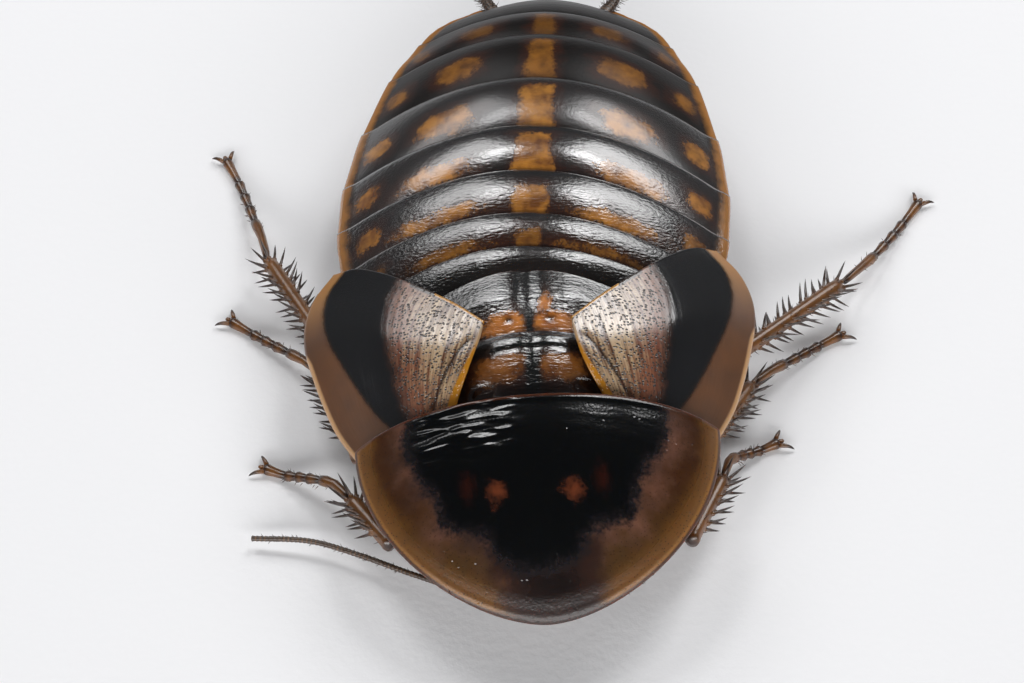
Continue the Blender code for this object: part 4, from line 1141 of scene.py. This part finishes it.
# The form of a part: a share of its length, and its half width and half height there
HIP_FORM = ((0, 0.6, 0.42), (0.15, 1.0, 0.6), (0.5, 1.08, 0.7), (0.8, 0.8, 0.62), (1.0, 0.5, 0.45))
SHIN_FORM = ((0, 0.34, 0.4), (0.05, 0.4, 0.48), (0.12, 0.36, 0.42), (0.5, 0.37, 0.42), (0.9, 0.42, 0.45),
             (1.0, 0.36, 0.38))
for name, (knee, ankle, _) in LEGS.items():
    print(name, "shin", round(math.dist(knee, ankle), 1), "mm")

# %% Leg finish
# Leg chitin is thin and only half tanned, so a little light passes through it: amber brown, darker at
# the joints, with almost black thorn tips
leg_chitin, tree = new_finish("amber_brown_leg_chitin")
place = add(tree, "ShaderNodeTexCoord").outputs["Object"]
grain = add(tree, "ShaderNodeTexNoise", {"Vector": place, "Scale": 1.0 / (0.12 * MM), "Detail": 2.0})
paint = painted(tree, clouded(tree, 0.8, "#43260f", "#865624"), (
    (mottled(tree, mark(tree, "joint"), 0.4, 0.08), 0.04, 0.5, colour("#2e180d")),
    (mark(tree, "thorn"), 0.75, 0.1, colour("#241209")),
))
cuticle(tree, paint, 0.32, grain.outputs["Fac"], relief=0.008, glow=0.2, glow_depth=0.25, coat=0.2, gloss=0.5)


# %% Straight limb parts
def new_leg_part():
    bm = bmesh.new()
    for name in ("joint", "thorn"):
        bm.verts.layers.float.new(name)
    return bm


def add_limb(bm, start, end, forms, around):
    """A straight limb part from (share of its length, half width, half height), rounded at its ends."""
    start, end = np.asarray(start, float), np.asarray(end, float)
    length = np.linalg.norm(end - start)
    shares = np.linspace(0.0, 1.0, 26)
    forms = np.asarray(forms, float)
    wide, high = (np.interp(shares, forms[:, 0], forms[:, k]) for k in (1, 2))
    cap = np.sqrt(np.clip(np.minimum(shares, 1 - shares) * length / 0.35, 0.0, 1.0))
    cap = np.sin(0.5 * math.pi * cap)
    joint = np.minimum(shares, 1 - shares) * length
    centres = start + (end - start) * shares[:, None]
    add_tube(bm, centres, wide * cap, high * cap, around, marks={"joint": joint})


# %% Thorns and bristles
SHIN_HALF = 0.36
THORN_RADIUS = 0.105
THORN_SWAY = 18
# Each row of thorns: its bearing round the shin in degrees, and how far its thorns lean to the foot
THORN_ROWS = ((-25, 0.7), (25, 0.75), (155, 0.75), (205, 0.7))
SPURS = 6
SPUR_CLEARANCE = 1.2
BRISTLE_RADII = (0, 0.022, 0.016, 0)


def limb_frame(start, end):
    """The direction along a limb, and a function that gives the one that leads out of it at an angle."""
    along = (end - start).normalized()
    sideways = along.cross(Vector((0, 0, 1))).normalized()
    rise = sideways.cross(along).normalized()
    return along, lambda angle: sideways * math.cos(angle) + rise * math.sin(angle)


def add_thorn(bm, root, direction, length, radius, curl):
    """A curved thorn: a ring at its foot, then a cone that bends over toward its tip."""
    root, direction = Vector(root), Vector(direction).normalized()
    curl = Vector(curl)
    shares = (-0.12, -0.12, 0.06, 0.1, 0.4, 0.75, 1.0)
    sizes = (0.0, 1.25, 1.25, 0.85, 0.7, 0.4, 0.0)
    centres = [root + direction * (length * share) + curl * (length * 0.22 * share ** 2) for share in shares]
    centres[0] -= direction * 0.02
    radii = [radius * size for size in sizes]
    marks = {"joint": 1.0, "thorn": np.linspace(0, 1, len(shares))}
    add_tube(bm, centres, radii, radii, 6, direction.orthogonal(), marks)


def add_thorns(bm, pair, knee, ankle):
    """Four rows of thorns down a shin, longer toward the foot, and a ring of spurs at its end."""
    along, out_at = limb_frame(knee, ankle)
    count = THORNS_PER_ROW[pair]
    for row, (turn, lean) in enumerate(THORN_ROWS):
        for k in range(count):
            share = 0.2 + 0.74 * (k + 0.25 * row + 0.35 * rng.random()) / count
            outward = out_at(math.radians(turn + rng.uniform(-THORN_SWAY, THORN_SWAY)))
            root = knee.lerp(ankle, min(share, 0.95)) + outward * SHIN_HALF
            length = rng.uniform(0.75, 1.05) * (1.0 + 0.3 * share)
            add_thorn(bm, root, outward + along * lean, length, THORN_RADIUS, along * 0.5)
    for k in range(SPURS):
        outward = out_at(math.radians(20 + 360 / SPURS * k + rng.uniform(-8, 8)))
        root = knee.lerp(ankle, 0.97) + outward * 0.3
        if root.z > SPUR_CLEARANCE:
            add_thorn(bm, root, outward * 0.55 + along, rng.uniform(1.0, 1.4), 0.11, along * 0.3)


def add_hairs(bm, start, end, size, count, length=0.35):
    """Fine bristles that stand off a limb, leaning toward its end."""
    along, out_at = limb_frame(start, end)
    for _ in range(count):
        outward = out_at(rng.uniform(0.0, 2.0 * math.pi))
        root = start.lerp(end, rng.uniform(0.1, 0.95)) + outward * size * 0.9
        tip_way = (outward + along * rng.uniform(0.5, 1.0)).normalized()
        centres = [root, root + tip_way * 0.02, root + tip_way * length * 0.5, root + tip_way * length]
        marks = {"joint": 1.0, "thorn": 0.6}
        add_tube(bm, centres, BRISTLE_RADII, BRISTLE_RADII, 4, tip_way.orthogonal(), marks)


# %% Feet
FOOT_JOINTS = (0.0, 0.4, 0.54, 0.66, 0.78, 1.0)
# Each foot joint: a share of its length, and its half width there
FOOT_SWELL = ((0.02, 0.17), (0.15, 0.21), (0.55, 0.24), (0.85, 0.3), (0.97, 0.27), (0.995, 0.16))
CLAW_RADII = np.array((0.0, 0.13, 0.12, 0.11, 0.09, 0.07, 0.045, 0.0))


def add_foot(bm, path):
    """Five foot joints, each widening to its end with a pad below, and two hooked claws."""
    shares, wide = [], []
    for a, b in zip(FOOT_JOINTS, FOOT_JOINTS[1:]):
        for f, size in FOOT_SWELL:
            shares.append(a + (b - a) * f)
            wide.append(size)
    shares = np.array([0.0, *shares, 1.0])
    wide = np.array([0.0, *wide, 0.0])
    centres = curve(path, shares)
    joint = np.min([np.abs(shares - at) for at in FOOT_JOINTS], axis=0) * 6.0
    add_tube(bm, centres, wide, wide * 0.95, 12, marks={"joint": joint})
    tip, before = Vector(centres[-1]), Vector(centres[-8])
    ahead = tip - before
    ahead.z = 0.0
    ahead.normalize()
    sideways = Vector((-ahead.y, ahead.x, 0.0))
    for sign in (-1, 1):
        steps = []
        for t in np.linspace(0.0, 1.0, len(CLAW_RADII)):
            hook = ahead * (-0.15 + 0.85 * t - 0.12 * t ** 3) + sideways * sign * (0.08 + 0.62 * t ** 0.8)
            steps.append(tip + hook + Vector((0, 0, 0.02 + 0.14 * math.sin(math.pi * t) - 0.14 * t)))
        marks = {"joint": 1.0, "thorn": np.linspace(0, 1, len(CLAW_RADII))}
        add_tube(bm, steps, CLAW_RADII, CLAW_RADII, 8, marks=marks)
    pad = [tip + ahead * t + Vector((0, 0, 0.02)) for t in (-0.1, -0.05, 0.15, 0.3, 0.36)]
    add_tube(bm, pad, (0, 0.12, 0.15, 0.1, 0), (0, 0.1, 0.1, 0.07, 0), 8, marks={"joint": 1.0})


# %% Leg pieces
for name, (knee, ankle, foot) in LEGS.items():
    side_name, pair = name.split("_")
    sign = -1 if side_name == "right" else 1
    hip, coxa_end, trochanter = (Vector(turned(sign * spot[0], spot[1], spot[2], bend=False))
                                 for spot in (HIPS[pair], COXA_ENDS[pair], TROCHANTERS[pair]))
    knee, ankle = Vector(knee), Vector(ankle)

    bm = new_leg_part()
    add_limb(bm, hip, coxa_end, HIP_FORM, 20)
    add_hairs(bm, hip, coxa_end, 0.7, 14)
    delivered(f"leg_{name}_hip", bm, leg_chitin, "leg_cuticle", f"leg_{name}_coxa")

    bm = new_leg_part()
    depth = FEMUR_DEPTH[pair]
    thigh_end = knee - (knee - trochanter).normalized() * KNEE_ROOM
    thigh_form = ((0, 0.4, 0.42), (0.06, 0.5, 0.55), (0.1, 0.42, 0.46), (0.14, 0.5, 0.62),
                  (0.35, 0.66, depth), (0.7, 0.6, 0.86 * depth), (0.88, 0.46, 0.6), (1.0, 0.4, 0.5))
    add_limb(bm, trochanter, thigh_end, thigh_form, 20)
    add_hairs(bm, trochanter, thigh_end, 0.62, 40)
    delivered(f"leg_{name}_thigh", bm, leg_chitin, "leg_cuticle", f"leg_{name}_femur")

    bm = new_leg_part()
    shin_start = knee - (ankle - knee).normalized() * KNEE_ROOM
    add_limb(bm, shin_start, ankle, SHIN_FORM, 16)
    add_thorns(bm, pair, knee, ankle)
    add_hairs(bm, knee, ankle, 0.4, 50)
    delivered(f"leg_{name}_shin", bm, leg_chitin, "leg_cuticle", f"leg_{name}_tibia")

    bm = new_leg_part()
    ankle_gap = ankle + (ankle - knee).normalized() * 0.12
    add_foot(bm, (tuple(ankle_gap), *foot))
    add_hairs(bm, Vector(foot[0]), Vector(foot[2]), 0.24, 24, 0.28)
    delivered(f"leg_{name}_foot", bm, leg_chitin, "leg_cuticle", f"leg_{name}_tarsus")
print("leg pieces", 4 * len(LEGS))

# %% [markdown]
# The head hangs under the shield with its mouth pointing down and back. It is a flattened egg with
# two kidney-shaped eyes wrapped round its sides, a pale weak spot beside each feeler, and the mouth's
# parts below: the lip, the jaws behind it, and two pairs of jointed palps. It is hidden in the
# photograph, so it follows the species.

# %% Head shape
HEAD_TOP = Vector((0.0, -7.35, 4.55))
HEAD_MOUTH = Vector((0.0, -5.75, 1.95))
# The form of the head: a share of its length, and its half width and half depth there
HEAD_FORMS = np.array(((0.0, 1.0, 0.5), (0.08, 1.9, 0.85), (0.25, 2.55, 1.1), (0.5, 2.6, 1.15),
                       (0.75, 2.1, 1.0), (0.92, 1.6, 0.8), (1.0, 1.35, 0.65)))
EYE_GAP = 0.1
EYE_THICK = 0.55
FACE_DOWN = (HEAD_MOUTH - HEAD_TOP).normalized()
FACE_OUT = Vector((0.0, FACE_DOWN.z, -FACE_DOWN.y))


def head_spots(share, angle, width, depth):
    """Places round the head: angle 0 is the middle of the face, a right angle the animal's left side."""
    share, angle, width, depth = np.broadcast_arrays(share, angle, width, depth)
    spots = (np.array(HEAD_TOP) + np.outer(share, np.array(HEAD_MOUTH - HEAD_TOP))
             + np.outer(width * np.sin(angle), (1.0, 0.0, 0.0)) + np.outer(depth * np.cos(angle), FACE_OUT))
    return turned(spots[:, 0], spots[:, 1], spots[:, 2])


def smooth_forms(share):
    """The head's half width and depth, with the table's corners rounded off."""
    steps = (-0.08, -0.04, 0.0, 0.04, 0.08)
    return [np.mean([np.interp(share + step, HEAD_FORMS[:, 0], HEAD_FORMS[:, k]) for step in steps], 0)
            for k in (1, 2)]


# %% Head finish
# The head's capsule is thick black chitin with a polish, brown toward the mouth, and thins out to two
# pale windows beside the feelers
head_chitin, tree = new_finish("black_head_chitin")
place = add(tree, "ShaderNodeTexCoord").outputs["Object"]
grain = add(tree, "ShaderNodeTexNoise", {"Vector": place, "Scale": 1.0 / (0.1 * MM), "Detail": 2.0})
paint = painted(tree, clouded(tree, 0.9, "#120d0c", "#2a1810"), (
    (mottled(tree, mark(tree, "pale"), 0.3, 0.05), -0.1, 0.08, colour("#c8a468")),
    (mottled(tree, mark(tree, "brown"), 0.4, 0.12), -0.2, 0.3, colour("#5a3218")),
))
cuticle(tree, paint, 0.22, grain.outputs["Fac"], relief=0.008, glow=0.05, coat=0.5)

# Compound eye: clear lenses over dark pigment. Its facets are too fine to see apart, so they are drawn
# as coarse as 0.06 mm
eye_lens, tree = new_finish("compound_eye_lens")
place = add(tree, "ShaderNodeTexCoord").outputs["Object"]
facets = add(tree, "ShaderNodeTexVoronoi", {"Vector": place, "Scale": 1.0 / (0.06 * MM), "Randomness": 0.15})
paint = clouded(tree, 0.5, "#070506", "#1c1012", 2.0)
cuticle(tree, paint, 0.15, facets.outputs["Distance"], relief=-0.014, coat=0.8)

# %% Head piece
AROUND_HEAD = 96
HEAD_RINGS = 70
bm = bmesh.new()
_, ring, angle = rolled_grid(bm, AROUND_HEAD, HEAD_RINGS)
share = ring / HEAD_RINGS
angle = angle - math.pi
width, depth = smooth_forms(share)
ends = np.sqrt(np.clip(np.minimum(share * 9.0, (1 - share) * 30.0), 0.0, 1.0))
width, depth = width * ends, depth * ends
on_face = np.maximum(np.cos(angle), 0.0)
across = width * np.sin(angle)
down = share * (HEAD_MOUTH - HEAD_TOP).length
sockets = np.hypot(np.abs(across) - 1.15, down - 1.15)
clypeus = 0.07 * ease(down, 2.05, 2.15) * (1 - ease(np.abs(across), 0.9, 1.05)) * on_face
seam = -0.05 * np.exp(-((down - 2.1) / 0.04) ** 2) * (1 - ease(np.abs(across), 1.1, 1.3)) * on_face
socket = (0.1 * np.exp(-((sockets - 0.38) / 0.1) ** 2) - 0.12 * (1 - ease(sockets, 0.1, 0.36))) * on_face
brow = -0.05 * np.exp(-(across / 0.25) ** 2) * ease(down, 0.3, 0.9) * (1 - ease(down, 1.4, 2.0)) * on_face
relief = clypeus + seam + socket + brow
spots = head_spots(share, angle, width + relief, depth + relief)
fenestra = np.hypot(np.abs(across) - 0.72, down - 0.82) - 0.14
set_points(bm, spots, {
    "pale": np.where(on_face > 0, fenestra, 1.0),
    "brown": np.where(on_face > 0, 2.1 - down, 1.0),
})
bmesh.ops.remove_doubles(bm, verts=bm.verts[:], dist=1e-7)
delivered("head_capsule", bm, head_chitin, "body_cuticle", "head")
print("head", triangle_count["head_capsule"], "triangles")

# %% Eyes
for name, sign in (("right", -1), ("left", 1)):
    bm, u, v, side = plate_grid(40, 48)

    def eye_surface(u, v, side, sign=sign):
        share = 0.12 + 0.46 * v
        lobe = np.sin(math.pi * np.clip(v, 0, 1)) ** 0.5
        waist = 0.16 * np.exp(-((v - 0.45) / 0.16) ** 2)
        angle = np.radians(58 + 30 * (1 - lobe) + 46 * waist + (66 * lobe - 46 * waist) * u)
        width, depth = smooth_forms(share)
        bulge = np.sin(math.pi * np.clip(u, 0, 1)) ** 0.6 * lobe
        off = EYE_GAP + (0.1 + EYE_THICK * bulge) * (1 - side) - 0.25 * side
        return head_spots(share, sign * angle, width + off, depth + off)

    set_points(bm, rounded(eye_surface, u, v, side, 0.02), {})
    delivered(f"eye_{name}_lens", bm, eye_lens, "eye_lens", f"eye_{name}")
print("each eye", triangle_count["eye_left_lens"], "triangles")

# %% [markdown]
# The mouth parts are small plates and jointed stalks. The lip is a rounded flap, and behind it the
# two toothed jaws meet on the midline. The palps are strings of bead-like joints, each swelling toward
# its end, like the foot's joints but softer.

# %% Lip and jaws
mouth = HEAD_MOUTH + FACE_DOWN * 0.1


def face_spot(across, down, out):
    """A place on the face below the mouth's line, in the pose."""
    spot = mouth + Vector((across, 0, 0)) + FACE_DOWN * down + FACE_OUT * out
    return turned(spot.x, spot.y, spot.z)


def lip_surface(u, v, side):
    x = (2 * u - 1) * (1.05 - 0.35 * v ** 2)
    down = v * (0.95 - 0.16 * (2 * u - 1) ** 2 - 0.1 * np.exp(-((2 * u - 1) / 0.16) ** 2))
    dome = 0.1 * np.sin(math.pi * np.clip(v, 0, 1)) * (1 - (2 * u - 1) ** 2)
    out = 0.42 - 0.2 * (2 * u - 1) ** 2 - 0.15 * v ** 2 + dome - 0.14 * side
    spots = np.array(mouth) + np.outer(x, (1, 0, 0)) + np.outer(down, FACE_DOWN) + np.outer(out, FACE_OUT)
    return turned(spots[:, 0], spots[:, 1], spots[:, 2])


bm, u, v, side = plate_grid(26, 18)
set_points(bm, rounded(lip_surface, u, v, side, 0.05), {"pale": 1.0, "brown": -1.0})
delivered("upper_lip", bm, head_chitin, "body_cuticle", "mouthparts")

bm = new_leg_part()
for sign in (-1, 1):
    jaw = [face_spot(sign * x, down, out) for x, down, out in (
        (0.95, -0.1, 0.02), (0.92, 0.0, 0.02), (0.82, 0.35, 0.02), (0.55, 0.75, 0.02), (0.2, 1.0, 0.02),
        (0.05, 1.06, 0.02))]
    jaw_marks = {"joint": 0.1, "thorn": (0, 0, 0.1, 0.4, 0.9, 1.0)}
    add_tube(bm, jaw, (0, 0.26, 0.34, 0.3, 0.16, 0), (0, 0.2, 0.26, 0.22, 0.12, 0), 12, FACE_OUT, jaw_marks)
    for tooth in range(3):
        root = Vector(face_spot(sign * (0.5 - 0.14 * tooth), 0.72 + 0.12 * tooth, 0.02))
        tip = Vector(face_spot(0.0, 0.82 + 0.12 * tooth, 0.02))
        add_thorn(bm, root, tip - root, 0.3, 0.1, FACE_DOWN * 0.2)
floor_of_mouth = [face_spot(0.0, down, -0.34) for down in (-0.12, -0.05, 0.3, 0.65, 0.85)]
add_tube(bm, floor_of_mouth, (0, 0.7, 0.62, 0.4, 0), (0, 0.16, 0.2, 0.14, 0), 14, FACE_OUT, {"joint": 0.4})
delivered("jaws", bm, leg_chitin, "leg_cuticle", "mouthparts")
print("jaws", triangle_count["jaws"], "triangles")

# %% Palps
PALP_BENDS = ((1.75, -5.85, 1.75), (2.3, -6.05, 1.25), (2.45, -6.55, 0.78), (2.05, -6.95, 0.42))


def add_beads(bm, path, count, thin, thick, around=10, start=0.0):
    """A stalk of joints: each starts thin and swells to its end."""
    shares, sizes = [start], [0.0]
    for k in range(count):
        for f, size in ((0.03, thin), (0.35, 0.6 * thin + 0.4 * thick), (0.8, thick), (0.95, 0.8 * thick)):
            shares.append(start + (1 - start) * (k + f) / count)
            sizes.append(size)
    shares.append(1.0)
    sizes.append(0.0)
    shares, sizes = np.array(shares), np.array(sizes)
    joint = np.abs(np.mod(shares * count + 0.5, 1.0) - 0.5) * 0.6
    add_tube(bm, curve(path, shares), sizes, sizes, around, marks={"joint": joint})


for name, sign in (("palp_right", -1), ("palp_left", 1)):
    bm = new_leg_part()
    steps = [turned(sign * x, back, up) for x, back, up in PALP_BENDS]
    add_beads(bm, steps, 5, 0.11, 0.22, 12)
    inner = [face_spot(sign * x, down, out) for x, down, out in (
        (0.5, 0.55, -0.45), (0.75, 0.8, -0.6), (0.8, 1.15, -0.5), (0.6, 1.35, -0.3))]
    add_beads(bm, inner, 3, 0.08, 0.14)
    add_hairs(bm, Vector(steps[1]), Vector(steps[3]), 0.22, 16, 0.25)
    delivered(f"{name}_joints", bm, leg_chitin, "leg_cuticle", name)
print("each palp", triangle_count["palp_left_joints"], "triangles")

# %% [markdown]
# The feelers start as two thick joints in their sockets and go on as a whip of more than fifty short
# rings, each with a wreath of fine sensing hairs. The right one lies along the ground beside the
# shield, where the photograph shows it; the left one is folded under the body. The tail feelers are
# short, flat and ringed.

# %% Feeler paths and finish
ANTENNA_RIGHT = ((-1.25, -7.95, 2.6), (-2.6, -7.65, 2.1), (-4.4, -6.5, 1.75), (-6.5, -5.4, 1.3),
                 (-8.6, -4.38, 1.05), (-11.2, -3.4, 0.85), (-14.2, -3.07, 0.6))
ANTENNA_LEFT = ((1.6, -7.95, 2.6), (2.95, -7.6, 2.15), (4.7, -6.35, 1.65), (5.9, -4.6, 0.95),
                (6.3, -2.0, 0.6), (5.7, 0.6, 0.5), (4.4, 3.0, 0.45), (2.6, 5.6, 0.4))

# Feeler chitin is dark and dull with fine hair, and each ring ends in a paler soft joint
feeler_chitin, tree = new_finish("dark_feeler_chitin")
place = add(tree, "ShaderNodeTexCoord").outputs["Object"]
grain = add(tree, "ShaderNodeTexNoise", {"Vector": place, "Scale": 1.0 / (0.06 * MM)})
paint = painted(tree, clouded(tree, 0.7, "#26180f", "#46301c", 3.0),
                ((mark(tree, "joint"), 0.03, 0.12, colour("#6a4a2c")),))
cuticle(tree, paint, 0.45, grain.outputs["Fac"], relief=0.006, coat=0.1)
for steps in (ANTENNA_RIGHT, ANTENNA_LEFT):
    print("feeler", round(sum(math.dist(a, b) for a, b in zip(steps, steps[1:])), 1), "mm long")

# %% Feelers
for name, steps, sign in (("antenna_right", ANTENNA_RIGHT, -1), ("antenna_left", ANTENNA_LEFT, 1)):
    bm = new_leg_part()
    add_beads(bm, steps, 60, 0.125, 0.15, 10, 0.08)
    base = [face_spot(sign * 1.15, -1.95, 0.8), face_spot(sign * 1.22, -1.87, 1.35)]
    add_beads(bm, base + [curve(steps, t) for t in (0.03, 0.06, 0.085)], 3, 0.2, 0.29, 14)
    for k in range(90):
        t = rng.uniform(0.1, 0.97)
        here, ahead = Vector(curve(steps, t)), Vector(curve(steps, t + 0.02))
        add_hairs(bm, here, ahead, 0.14, 1, 0.18)
    delivered(f"{name}_whip", bm, feeler_chitin, "leg_cuticle", name)
print("right feeler", triangle_count["antenna_right_whip"], "triangles")

# %% Tail feelers
CERCUS_ROOT = (2.7, 30.45, 3.4)
CERCUS_TIP = (4.2, 33.2, 3.3)
CERCUS_RINGS = 12
for name, sign in (("cercus_right", -1), ("cercus_left", 1)):
    bm = new_leg_part()
    root = Vector(turned(sign * CERCUS_ROOT[0], CERCUS_ROOT[1], CERCUS_ROOT[2]))
    tip = Vector(turned(sign * CERCUS_TIP[0], CERCUS_TIP[1], CERCUS_TIP[2]))
    shares, sizes = [0.0], [0.0]
    for k in range(CERCUS_RINGS):
        swell = 0.24 + 0.22 * math.sin(math.pi * (0.15 + 0.8 * k / CERCUS_RINGS))
        for f, size in ((0.06, 0.82), (0.5, 1.0), (0.94, 0.86)):
            shares.append((k + f) / CERCUS_RINGS)
            sizes.append(swell * size * (1.0 - 0.55 * (k / CERCUS_RINGS) ** 2))
    shares.append(1.0)
    sizes.append(0.0)
    sizes = np.array(sizes)
    centres = [root.lerp(tip, share) for share in shares]
    joint = np.abs(np.mod(np.array(shares) * CERCUS_RINGS + 0.5, 1.0) - 0.5) * 0.5
    add_tube(bm, centres, sizes, sizes * 0.72, 14, marks={"joint": joint})
    add_hairs(bm, root.lerp(tip, 0.33), tip, 0.3, 60, 0.5)
    delivered(f"{name}_rings", bm, feeler_chitin, "leg_cuticle", name)
print("tail feelers", CERCUS_RINGS, "rings,", round(math.dist(CERCUS_ROOT, CERCUS_TIP), 1), "mm long")

# %% Sizes and finish
low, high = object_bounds()
print("pieces", len(triangle_count), "triangles", sum(triangle_count.values()))
print("largest", max(triangle_count, key=triangle_count.get), max(triangle_count.values()))
